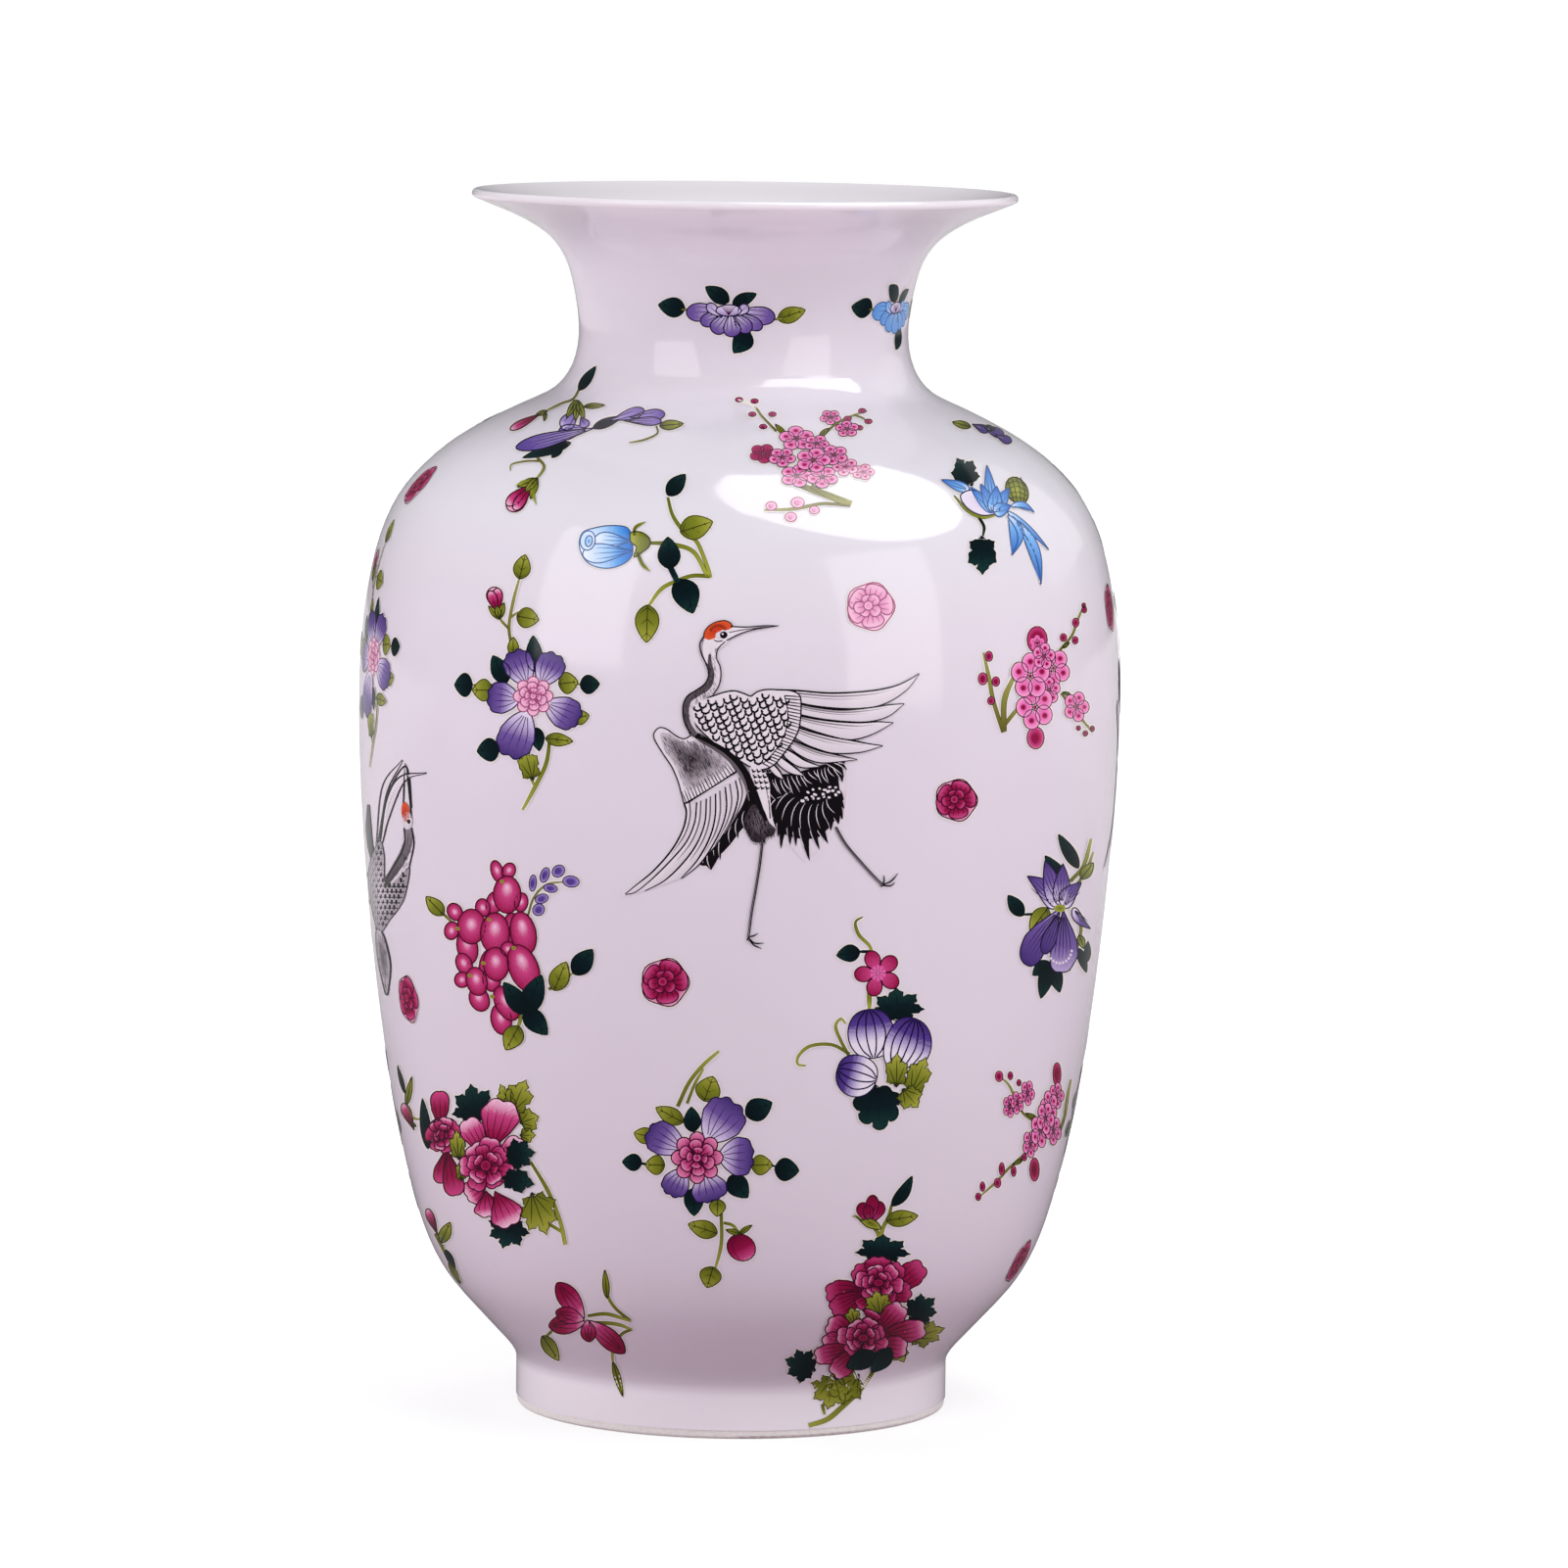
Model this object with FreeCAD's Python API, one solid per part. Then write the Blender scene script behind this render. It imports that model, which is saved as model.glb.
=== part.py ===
import FreeCAD, Part
import math
import os

# Porcelain vase, in millimetres. Z is up.
# The origin is the middle of the ring that it stands on.

# Radii of the outside: foot, widest part, throat and lip
FOOT_RADIUS = 62.2
BELLY_RADIUS = 109.1
THROAT_RADIUS = 47.1
MOUTH_RADIUS = 78.0

# Rises from the foot's crease to the belly, to the throat and to the lip
BODY_RISE = 190.0
SHOULDER_RISE = 108.0
MOUTH_RISE = 39.0
LIP_ANGLE = 24.0

# Clay, glaze and the slip that joins the thrown sections
BODY_WALL = 4.0
LIP_WALL = 1.8
FLOOR_THICKNESS = 6.0
GLAZE_THICKNESS = 0.35
SLIP_THICKNESS = 0.8
SEAM_BEVEL = 1.6

# Foot ring, and the step of the body above it that ends in a crease
RING_HEIGHT = 10.4
RING_WALL = 8.0
RING_TAPER = 3.0
EDGE_ROUND = 1.0
BARE_EDGE = 2.5
FOOT_STEP = 1.8

# Where the three thrown sections meet
WAIST_BELOW_BELLY = 28.0
NECK_BELOW_THROAT = 11.8

# Inside of the floor: its flat middle as a share of the foot radius, and the ease of its sweep
floor_flat_share = 0.5
floor_rise_share = 0.3

# How finely a height is found on a curve
FINE_SHARE = 1e-10

FULL_TURN = 360.0
HALF_TURN = 180.0
QUARTER_TURN = 90.0

# Outline of the finished vase as stations.
# Each row is a share of the height of its stretch, then a share of its change in radius.
# The first stretch, from the foot to the belly, has its floor at the end of the first list.
foot_to_floor_shares = [
    (0.0, 0.0),
    (0.025, 0.045),
    (0.05, 0.137),
    (0.085, 0.268),
]
floor_to_belly_shares = [
    (0.125, 0.41),
    (0.18, 0.54),
    (0.26, 0.65),
    (0.38, 0.76),
    (0.56, 0.873),
    (0.78, 0.962),
    (1.0, 1.0),
]
belly_to_throat_shares = [
    (0.23, 0.982),
    (0.37, 0.943),
    (0.48, 0.885),
    (0.57, 0.80),
    (0.64, 0.69),
    (0.70, 0.56),
    (0.755, 0.395),
    (0.80, 0.232),
    (0.845, 0.092),
    (0.91, 0.022),
    (1.0, 0.0),
]
# The third share is how far the wall has thinned from the body's to the lip's.
throat_to_lip_shares = [
    (0.265, 0.041, 0.1),
    (0.48, 0.113, 0.25),
    (0.64, 0.23, 0.45),
    (0.77, 0.425, 0.65),
    (0.88, 0.70, 0.85),
]

# Sizes that follow from the ones above
BODY_BASE = RING_HEIGHT + SLIP_THICKNESS
FLOOR_HEIGHT = BODY_BASE + FLOOR_THICKNESS
CREASE_HEIGHT = BODY_BASE + FOOT_STEP
BELLY_HEIGHT = CREASE_HEIGHT + BODY_RISE
THROAT_HEIGHT = BELLY_HEIGHT + SHOULDER_RISE
LIP_ROUND = LIP_WALL / 2 + GLAZE_THICKNESS
LIP_RADIUS = MOUTH_RADIUS - LIP_ROUND
LIP_HEIGHT = THROAT_HEIGHT + MOUTH_RISE - LIP_ROUND
CLAY_FOOT_RADIUS = FOOT_RADIUS - GLAZE_THICKNESS
RING_INNER_TOP = CLAY_FOOT_RADIUS - RING_WALL
RING_INNER_BASE = RING_INNER_TOP + RING_TAPER

AXIS = FreeCAD.Vector(0, 0, 1)
CENTRE = FreeCAD.Vector(0, 0, 0)


def place(radius, height):
    return FreeCAD.Vector(radius, 0, height)


def between(low, high, share):
    return low + share * (high - low)


# Outline stations, each with the clay's wall thickness there
def outline_stations():
    stations = []
    for rise, swell in foot_to_floor_shares + floor_to_belly_shares:
        radius = between(FOOT_RADIUS, BELLY_RADIUS, swell)
        stations.append((radius, between(CREASE_HEIGHT, BELLY_HEIGHT, rise), BODY_WALL))
    for rise, swell in belly_to_throat_shares:
        radius = between(THROAT_RADIUS, BELLY_RADIUS, swell)
        stations.append((radius, between(BELLY_HEIGHT, THROAT_HEIGHT, rise), BODY_WALL))
    for rise, swell, thinning in throat_to_lip_shares:
        radius = between(THROAT_RADIUS, MOUTH_RADIUS, swell)
        wall = between(BODY_WALL, LIP_WALL, thinning)
        stations.append((radius, between(THROAT_HEIGHT, LIP_HEIGHT, rise), wall))
    lip = lip_point(LIP_ROUND, LIP_ANGLE - QUARTER_TURN)
    stations.append((lip.x, lip.z, LIP_WALL))
    return stations


def lip_point(radius, angle):
    turn = math.radians(angle)
    across = LIP_RADIUS + radius * math.cos(turn)
    return place(across, LIP_HEIGHT + radius * math.sin(turn))


# A curve through the points, measured along their chords
def smooth_curve(points, first_direction, last_direction):
    along = [0]
    for point, following in zip(points, points[1:]):
        along.append(along[-1] + point.distanceToPoint(following))
    curve = Part.BSplineCurve()
    curve.interpolate(
        Points=points,
        Parameters=along,
        InitialTangent=first_direction,
        FinalTangent=last_direction,
        Scale=False,
    )
    return curve


def inward(curve, point):
    tangent = curve.tangent(curve.parameter(point))[0]
    return FreeCAD.Vector(-tangent.z, 0, tangent.x)


# The four nested outlines: glaze, clay, clay inside, glaze inside
def nested_curves():
    stations = outline_stations()
    points = [place(radius, height) for radius, height, wall in stations]
    turn = math.radians(LIP_ANGLE)
    lip_direction = place(math.cos(turn), math.sin(turn))
    outer = smooth_curve(points, AXIS, lip_direction)
    normals = [inward(outer, point) for point in points]
    depths = [
        [0 for station in stations],
        [GLAZE_THICKNESS for station in stations],
        [GLAZE_THICKNESS + station[2] for station in stations],
        [2 * GLAZE_THICKNESS + station[2] for station in stations],
    ]
    curves = []
    for depth in depths:
        inset = [point + normal * d for point, normal, d in zip(points, normals, depth)]
        first = 0 if len(curves) < 2 else len(foot_to_floor_shares)
        start = AXIS
        if first:
            ahead = normals[first]
            start = FreeCAD.Vector(ahead.z, 0, -ahead.x)
        curves.append(smooth_curve(inset[first:], start, lip_direction))
    return curves


glaze_out, clay_out, clay_in, glaze_in = nested_curves()


def start_point(curve):
    return curve.value(curve.FirstParameter)


def stretch(curve, low, high):
    return curve.toShape(low, high)


def line(start, end):
    return Part.makeLine(start, end)


def lip_arc(radius, first_angle, last_angle):
    middle = lip_point(radius, (first_angle + last_angle) / 2)
    arc = Part.Arc(lip_point(radius, first_angle), middle, lip_point(radius, last_angle))
    return arc.toShape()


def turned(edges):
    ordered = Part.__sortEdges__(edges)
    face = Part.Face(Part.Wire(ordered))
    solid = face.revolve(CENTRE, AXIS, FULL_TURN)
    if solid.Volume < 0:
        solid.reverse()
    return solid


# Seams run across the wall, and rise towards the inside
def parameter_at(curve, height):
    low, high = curve.FirstParameter, curve.LastParameter
    while high - low > (curve.LastParameter - curve.FirstParameter) * FINE_SHARE:
        middle = (low + high) / 2
        if curve.value(middle).z < height:
            low = middle
        else:
            high = middle
    return (low + high) / 2


def seam(height):
    outside = parameter_at(clay_out, height)
    point = clay_out.value(outside)
    tangent = clay_out.tangent(outside)[0]
    across = FreeCAD.Vector(-tangent.z, 0, tangent.x)
    inside = clay_in.parameter(point + across * BODY_WALL + tangent * SEAM_BEVEL)
    return outside, inside


waist_height = BELLY_HEIGHT - WAIST_BELOW_BELLY
neck_height = THROAT_HEIGHT - NECK_BELOW_THROAT
waist_low = seam(waist_height)
waist_high = seam(waist_height + SLIP_THICKNESS)
neck_low = seam(neck_height)
neck_high = seam(neck_height + SLIP_THICKNESS)
seams = [waist_low, waist_high, neck_low, neck_high]
outside_marks = [outside for outside, inside in seams]
inside_marks = [inside for outside, inside in seams]


# A curve in the stretches that marks along it divide it into
def stretches(curve, marks):
    marks = [curve.FirstParameter] + marks + [curve.LastParameter]
    return [stretch(curve, low, high) for low, high in zip(marks, marks[1:])]


# The glaze's surface, divided level with the clay under it
def glaze_stretches(curve, clay, marks):
    return stretches(curve, [curve.parameter(clay.value(mark)) for mark in marks])


# Inside of the floor: flat in the middle, then sweeping up into the wall
def floor_edges(curve, height):
    flat_end = place(FOOT_RADIUS * floor_flat_share, height)
    corner = start_point(curve)
    tangent = curve.tangent(curve.FirstParameter)[0]
    reach = flat_end.distanceToPoint(corner) * floor_rise_share
    sweep = Part.BezierCurve()
    sweep.setPoles([
        flat_end,
        flat_end + place(reach, 0),
        corner - tangent * reach,
        corner,
    ])
    return [line(place(0, height), flat_end), sweep.toShape()]


def foot_ring():
    corners = [
        place(RING_INNER_BASE, 0),
        place(CLAY_FOOT_RADIUS, 0),
        place(CLAY_FOOT_RADIUS, RING_HEIGHT),
        place(RING_INNER_TOP, RING_HEIGHT),
    ]
    ring = turned([line(a, b) for a, b in zip(corners, corners[1:] + corners[:1])])
    standing = [edge for edge in ring.Edges if edge.BoundBox.ZMax < EDGE_ROUND / 2]
    rims = [edge for edge in standing if edge.Closed]
    return ring.makeFillet(EDGE_ROUND, rims)


def foot_ring_slip():
    corners = [
        place(RING_INNER_TOP, RING_HEIGHT),
        place(CLAY_FOOT_RADIUS, RING_HEIGHT),
        place(CLAY_FOOT_RADIUS, BODY_BASE),
        place(RING_INNER_TOP, BODY_BASE),
    ]
    return turned([line(a, b) for a, b in zip(corners, corners[1:] + corners[:1])])


def lower_body():
    outside, inside = waist_low
    edges = [
        line(place(0, FLOOR_HEIGHT), place(0, BODY_BASE)),
        line(place(0, BODY_BASE), place(CLAY_FOOT_RADIUS, BODY_BASE)),
        line(place(CLAY_FOOT_RADIUS, BODY_BASE), start_point(clay_out)),
        stretch(clay_out, clay_out.FirstParameter, outside),
        line(clay_out.value(outside), clay_in.value(inside)),
        stretch(clay_in, clay_in.FirstParameter, inside),
    ]
    return turned(edges + floor_edges(clay_in, FLOOR_HEIGHT))


# A band of the wall between two seams: a thrown section, or the slip of a seam
def wall_band(low, high):
    edges = [
        stretch(clay_out, low[0], high[0]),
        line(clay_out.value(high[0]), clay_in.value(high[1])),
        stretch(clay_in, low[1], high[1]),
        line(clay_in.value(low[1]), clay_out.value(low[0])),
    ]
    return turned(edges)


def neck_and_mouth():
    outside, inside = neck_high
    under = LIP_ANGLE - QUARTER_TURN
    edges = [
        stretch(clay_out, outside, clay_out.LastParameter),
        lip_arc(LIP_WALL / 2, under, under + HALF_TURN),
        stretch(clay_in, inside, clay_in.LastParameter),
        line(clay_in.value(inside), clay_out.value(outside)),
    ]
    return turned(edges)


# The outside coat stops short of the standing edge and meets the inside coat at the lip
def outside_glaze():
    under = LIP_ANGLE - QUARTER_TURN
    edges = [
        line(place(CLAY_FOOT_RADIUS, BARE_EDGE), place(FOOT_RADIUS, BARE_EDGE)),
        line(place(FOOT_RADIUS, BARE_EDGE), start_point(glaze_out)),
        lip_arc(LIP_ROUND, under, QUARTER_TURN),
        line(lip_point(LIP_ROUND, QUARTER_TURN), lip_point(LIP_WALL / 2, QUARTER_TURN)),
        lip_arc(LIP_WALL / 2, under, QUARTER_TURN),
        line(start_point(clay_out), place(CLAY_FOOT_RADIUS, BODY_BASE)),
        line(place(CLAY_FOOT_RADIUS, BODY_BASE), place(CLAY_FOOT_RADIUS, RING_HEIGHT)),
        line(place(CLAY_FOOT_RADIUS, RING_HEIGHT), place(CLAY_FOOT_RADIUS, BARE_EDGE)),
    ]
    edges += stretches(clay_out, outside_marks)
    return turned(edges + glaze_stretches(glaze_out, clay_out, outside_marks))


def inside_glaze():
    over = LIP_ANGLE + QUARTER_TURN
    top = FLOOR_HEIGHT + GLAZE_THICKNESS
    edges = [
        line(lip_point(LIP_ROUND, QUARTER_TURN), lip_point(LIP_WALL / 2, QUARTER_TURN)),
        lip_arc(LIP_ROUND, QUARTER_TURN, over),
        lip_arc(LIP_WALL / 2, QUARTER_TURN, over),
        line(place(0, FLOOR_HEIGHT), place(0, top)),
    ]
    floors = floor_edges(clay_in, FLOOR_HEIGHT) + floor_edges(glaze_in, top)
    edges += floors + stretches(clay_in, inside_marks)
    return turned(edges + glaze_stretches(glaze_in, clay_in, inside_marks))


def ring_inner_radius(height):
    return between(RING_INNER_BASE, RING_INNER_TOP, height / RING_HEIGHT)


def base_glaze():
    ceiling = BODY_BASE - GLAZE_THICKNESS
    bare = ring_inner_radius(BARE_EDGE)
    corners = [
        place(0, BODY_BASE),
        place(0, ceiling),
        place(RING_INNER_TOP - GLAZE_THICKNESS, ceiling),
        place(bare - GLAZE_THICKNESS, BARE_EDGE),
        place(bare, BARE_EDGE),
        place(RING_INNER_TOP, RING_HEIGHT),
        place(RING_INNER_TOP, BODY_BASE),
    ]
    return turned([line(a, b) for a, b in zip(corners, corners[1:] + corners[:1])])


pieces = {
    "foot_ring": foot_ring(),
    "foot_ring_slip": foot_ring_slip(),
    "lower_body": lower_body(),
    "waist_slip": wall_band(waist_low, waist_high),
    "upper_body": wall_band(waist_high, neck_low),
    "neck_slip": wall_band(neck_low, neck_high),
    "neck_and_mouth": neck_and_mouth(),
    "outside_glaze": outside_glaze(),
    "inside_glaze": inside_glaze(),
    "base_glaze": base_glaze(),
}

os.makedirs("parts", exist_ok=True)
for name, shape in pieces.items():
    shape.exportStep("parts/" + name + ".step")
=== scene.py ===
import math

import bpy
import numpy as np
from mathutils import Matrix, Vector


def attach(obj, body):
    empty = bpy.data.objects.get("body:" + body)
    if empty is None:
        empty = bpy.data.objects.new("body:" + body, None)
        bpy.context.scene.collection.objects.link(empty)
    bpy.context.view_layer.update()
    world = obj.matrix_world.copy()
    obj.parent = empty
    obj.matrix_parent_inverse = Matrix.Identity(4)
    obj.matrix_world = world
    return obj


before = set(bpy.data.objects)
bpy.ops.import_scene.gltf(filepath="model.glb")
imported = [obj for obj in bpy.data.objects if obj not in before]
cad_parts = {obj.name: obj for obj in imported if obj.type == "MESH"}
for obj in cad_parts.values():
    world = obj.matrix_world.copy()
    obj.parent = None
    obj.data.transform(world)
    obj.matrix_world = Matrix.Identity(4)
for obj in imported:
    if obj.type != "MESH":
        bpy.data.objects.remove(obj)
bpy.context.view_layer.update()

# Sizes in metres unless a name says otherwise
MM = 0.001

# Outline of the outside, the same stations as the solids
FOOT_RADIUS = 62.2 * MM
BELLY_RADIUS = 109.1 * MM
THROAT_RADIUS = 47.1 * MM
MOUTH_RADIUS = 78.0 * MM
CREASE_HEIGHT = 13.0 * MM
BODY_RISE = 190.0 * MM
SHOULDER_RISE = 108.0 * MM
MOUTH_RISE = 39.0 * MM
LIP_ROUND = 1.25 * MM
LIP_ANGLE = math.radians(24)
# Shares of the rise and of the swell at each station
foot_to_belly_shares = [
    (0.0, 0.0), (0.025, 0.045), (0.05, 0.137), (0.085, 0.268), (0.125, 0.41),
    (0.18, 0.54), (0.26, 0.65), (0.38, 0.76), (0.56, 0.873), (0.78, 0.962), (1.0, 1.0),
]
belly_to_throat_shares = [
    (0.23, 0.982), (0.37, 0.943), (0.48, 0.885), (0.57, 0.80), (0.64, 0.69),
    (0.70, 0.56), (0.755, 0.395), (0.80, 0.232), (0.845, 0.092), (0.91, 0.022), (1.0, 0.0),
]
throat_to_lip_shares = [
    (0.265, 0.041), (0.48, 0.113), (0.64, 0.23), (0.77, 0.425), (0.88, 0.70),
]
FOOT_SAMPLES = 20
SPAN_SAMPLES = 40


# A smooth curve through points with given end directions, as dense samples
def smooth_through(points, first, last, samples):
    p = np.array(points)
    h = np.linalg.norm(np.diff(p, axis=0), axis=1)
    n = len(p)
    rows = np.zeros((n, n))
    right = np.zeros((n, 2))
    rows[0, 0] = rows[-1, -1] = 1
    right[0], right[-1] = first, last
    for i in range(1, n - 1):
        rows[i, i - 1:i + 2] = h[i], 2 * (h[i - 1] + h[i]), h[i - 1]
        back = h[i] / h[i - 1] * (p[i] - p[i - 1])
        right[i] = 3 * (back + h[i - 1] / h[i] * (p[i + 1] - p[i]))
    slope = np.linalg.solve(rows, right)
    found = []
    for i in range(n - 1):
        t = np.linspace(0, 1, samples, endpoint=i == n - 2)[:, None]
        found.append(
            (2 * t**3 - 3 * t**2 + 1) * p[i] + (t**3 - 2 * t**2 + t) * h[i] * slope[i]
            + (3 * t**2 - 2 * t**3) * p[i + 1] + (t**3 - t**2) * h[i] * slope[i + 1]
        )
    return np.vstack(found)


# Radius and height along the outside, from the floor to the lip
def outline():
    belly = CREASE_HEIGHT + BODY_RISE
    throat = belly + SHOULDER_RISE
    lip = throat + MOUTH_RISE - LIP_ROUND
    points = []
    for rise, swell in foot_to_belly_shares:
        radius = FOOT_RADIUS + swell * (BELLY_RADIUS - FOOT_RADIUS)
        points.append((radius, CREASE_HEIGHT + rise * BODY_RISE))
    for rise, swell in belly_to_throat_shares:
        radius = THROAT_RADIUS + swell * (BELLY_RADIUS - THROAT_RADIUS)
        points.append((radius, belly + rise * SHOULDER_RISE))
    for rise, swell in throat_to_lip_shares:
        radius = THROAT_RADIUS + swell * (MOUTH_RADIUS - THROAT_RADIUS)
        points.append((radius, throat + rise * (lip - throat)))
    under = (math.sin(LIP_ANGLE), -math.cos(LIP_ANGLE))
    points.append((MOUTH_RADIUS - LIP_ROUND + LIP_ROUND * under[0], lip + LIP_ROUND * under[1]))
    curve = smooth_through(points, (0, 1), (math.cos(LIP_ANGLE), math.sin(LIP_ANGLE)), SPAN_SAMPLES)
    rise = np.linspace(0, CREASE_HEIGHT, FOOT_SAMPLES, endpoint=False)
    return np.vstack([np.stack([np.full(FOOT_SAMPLES, FOOT_RADIUS), rise], 1), curve])


OUTLINE = outline()
STEPS = np.diff(OUTLINE, axis=0)
ALONG = np.concatenate([[0], np.cumsum(np.linalg.norm(STEPS, axis=1))])
TANGENTS = np.gradient(OUTLINE, ALONG, axis=0)

# Camera, from the ellipses of the lip and the foot in the photograph
PHOTO_PIXELS = 1601
SENSOR_MILLIMETRES = 36
LENS_MILLIMETRES = 196.15
CAMERA_PLACE = (0, -2.4439, 0.4407)
CAMERA_DEGREES = (83.908, -0.729, -0.232)
SIGHT_REACH = 60
camera_data = bpy.data.cameras.new("camera")
camera_data.sensor_width = SENSOR_MILLIMETRES
camera_data.lens = LENS_MILLIMETRES
camera_data.clip_end = SIGHT_REACH
camera = bpy.data.objects.new("camera", camera_data)
camera.location = CAMERA_PLACE
camera.rotation_euler = [math.radians(angle) for angle in CAMERA_DEGREES]
bpy.context.scene.collection.objects.link(camera)
bpy.context.scene.camera = camera
bpy.context.view_layer.update()


# Points of the outside at angles round and lengths along, raised by a height
def on_vase(angles, along, height):
    radius = np.interp(along, ALONG, OUTLINE[:, 0])
    level = np.interp(along, ALONG, OUTLINE[:, 1])
    rise = np.interp(along, ALONG, TANGENTS[:, 0])
    climb = np.interp(along, ALONG, TANGENTS[:, 1])
    size = np.hypot(rise, climb)
    out, up = climb / size, -rise / size
    reach = radius + out * height
    around = np.stack([np.sin(angles), -np.cos(angles)], -1)
    places = np.stack([around[..., 0] * reach, around[..., 1] * reach, level + up * height], -1)
    normals = np.stack([around[..., 0] * out, around[..., 1] * out, up], -1)
    return places, normals


# A shade of a screen colour, 0 to 255, as the amount of light that it stands for
def linear(value):
    value /= 255
    return value / 12.92 if value <= 0.04045 else ((value + 0.055) / 1.055) ** 2.4


def colour(red, green, blue):
    return (linear(red), linear(green), linear(blue), 1)


def new_material(name):
    material = bpy.data.materials.new(name)
    material.use_nodes = True
    nodes = material.node_tree.nodes
    return material, nodes, material.node_tree.links, nodes["Principled BSDF"]


def ramp_node(nodes, stops):
    ramp = nodes.new("ShaderNodeValToRGB")
    elements = ramp.color_ramp.elements
    while len(elements) < len(stops):
        elements.new(0.5)
    for element, (position, shade) in zip(elements, stops):
        element.position = position
        element.color = shade
    return ramp


def noise_node(nodes, links, source, scale, detail, roughness=0.5):
    noise = nodes.new("ShaderNodeTexNoise")
    noise.inputs["Scale"].default_value = scale
    noise.inputs["Detail"].default_value = detail
    noise.inputs["Roughness"].default_value = roughness
    links.new(source, noise.inputs["Vector"])
    return noise


# Glaze: its refraction, and the scales of its drifting tint and of its uneven surface
GLAZE_IOR = 1.5
DRIFT_SCALE = 9
DRIFT_SHADE = (0.96, 0.95, 0.955, 1)
PEEL_SCALE = 160
PEEL_STRENGTH = 0.05

# Bare porcelain: the scale of its grain and how strongly it shows
GRAIN_SCALE = 700
GRAIN_STRENGTH = 0.25
SMOOTHEST_GRAIN = 0.6
ROUGHEST_GRAIN = 0.85

RELIEF_DEPTH = 0.2 * MM
WHITE = (1, 1, 1, 1)


# A fine unevenness of the surface
def relief(nodes, links, shader, noise, strength):
    bump = nodes.new("ShaderNodeBump")
    bump.inputs["Strength"].default_value = strength
    bump.inputs["Distance"].default_value = RELIEF_DEPTH
    links.new(noise.outputs["Fac"], bump.inputs["Height"])
    links.new(bump.outputs["Normal"], shader.inputs["Normal"])


# Clear glaze over white porcelain: its tint at each height, which on the outside carries painted light, with
# a faint drift, and a slightly uneven gloss
def glaze_material(name, levels, roughness):
    material, nodes, links, shader = new_material(name)
    place = nodes.new("ShaderNodeTexCoord")
    parts = nodes.new("ShaderNodeSeparateXYZ")
    links.new(place.outputs["Object"], parts.inputs[0])
    tint = ramp_node(nodes, levels)
    links.new(parts.outputs["Z"], tint.inputs["Fac"])
    drift = noise_node(nodes, links, place.outputs["Object"], DRIFT_SCALE, 3)
    clouds = ramp_node(nodes, [(0.3, DRIFT_SHADE), (0.7, WHITE)])
    links.new(drift.outputs["Fac"], clouds.inputs["Fac"])
    mix = nodes.new("ShaderNodeMix")
    mix.data_type = "RGBA"
    mix.blend_type = "MULTIPLY"
    mix.inputs["Factor"].default_value = 1
    links.new(tint.outputs["Color"], mix.inputs["A"])
    links.new(clouds.outputs["Color"], mix.inputs["B"])
    links.new(mix.outputs["Result"], shader.inputs["Base Color"])
    shader.inputs["Roughness"].default_value = roughness
    shader.inputs["IOR"].default_value = GLAZE_IOR
    peel = noise_node(nodes, links, place.outputs["Object"], PEEL_SCALE, 2)
    relief(nodes, links, shader, peel, PEEL_STRENGTH)
    return material


# Unglazed fired porcelain: fine, matt, slightly warm, with kiln specks
def bare_material(name, pale, deep):
    material, nodes, links, shader = new_material(name)
    place = nodes.new("ShaderNodeTexCoord")
    grain = noise_node(nodes, links, place.outputs["Object"], GRAIN_SCALE, 4, 0.7)
    tint = ramp_node(nodes, [(0.25, deep), (0.6, pale)])
    links.new(grain.outputs["Fac"], tint.inputs["Fac"])
    links.new(tint.outputs["Color"], shader.inputs["Base Color"])
    rough = nodes.new("ShaderNodeMapRange")
    rough.inputs["To Min"].default_value = SMOOTHEST_GRAIN
    rough.inputs["To Max"].default_value = ROUGHEST_GRAIN
    links.new(grain.outputs["Fac"], rough.inputs["Value"])
    links.new(rough.outputs["Result"], shader.inputs["Roughness"])
    relief(nodes, links, shader, grain, GRAIN_STRENGTH)
    return material


# The outside's tint at each height holds painted light: the wall of the foot, the shoulder and the lip are
# painted paler where light falls on them
LIT_FOOT_WALL_TINT = colour(253, 248, 254)
BODY_TINT = colour(227, 219, 229)
LIT_SHOULDER_TINT = colour(230, 227, 234)
NECK_TINT = colour(228, 221, 230)
LIT_LIP_TINT = colour(240, 235, 240)
INNER_TINT = colour(231, 227, 232)
OUTSIDE_TINTS_WITH_PAINTED_LIGHT = [
    (CREASE_HEIGHT - 1 * MM, LIT_FOOT_WALL_TINT), (CREASE_HEIGHT + 3 * MM, BODY_TINT), (215 * MM, BODY_TINT),
    (262 * MM, LIT_SHOULDER_TINT), (285 * MM, LIT_SHOULDER_TINT), (310 * MM, NECK_TINT), (343 * MM, NECK_TINT),
    (348 * MM, LIT_LIP_TINT),
]
INSIDE_TINTS = [(0, INNER_TINT), (350 * MM, INNER_TINT)]
outside = glaze_material("pink_white_glaze", OUTSIDE_TINTS_WITH_PAINTED_LIGHT, 0.085)
inside = glaze_material("inner_glaze", INSIDE_TINTS, 0.06)
bare = bare_material("bare_porcelain", colour(246, 243, 240), colour(233, 229, 224))
node_materials = {"outside_glaze": outside, "inside_glaze": inside, "base_glaze": inside}
for name in ("foot_ring", "foot_ring_slip", "lower_body", "waist_slip", "upper_body", "neck_slip",
             "neck_and_mouth"):
    node_materials[name] = bare
for name, material in node_materials.items():
    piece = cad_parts[name]
    piece.data.materials.clear()
    piece.data.materials.append(material)


# Drawing on the glaze: shapes on a flat sketch, later wrapped round the vase

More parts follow.
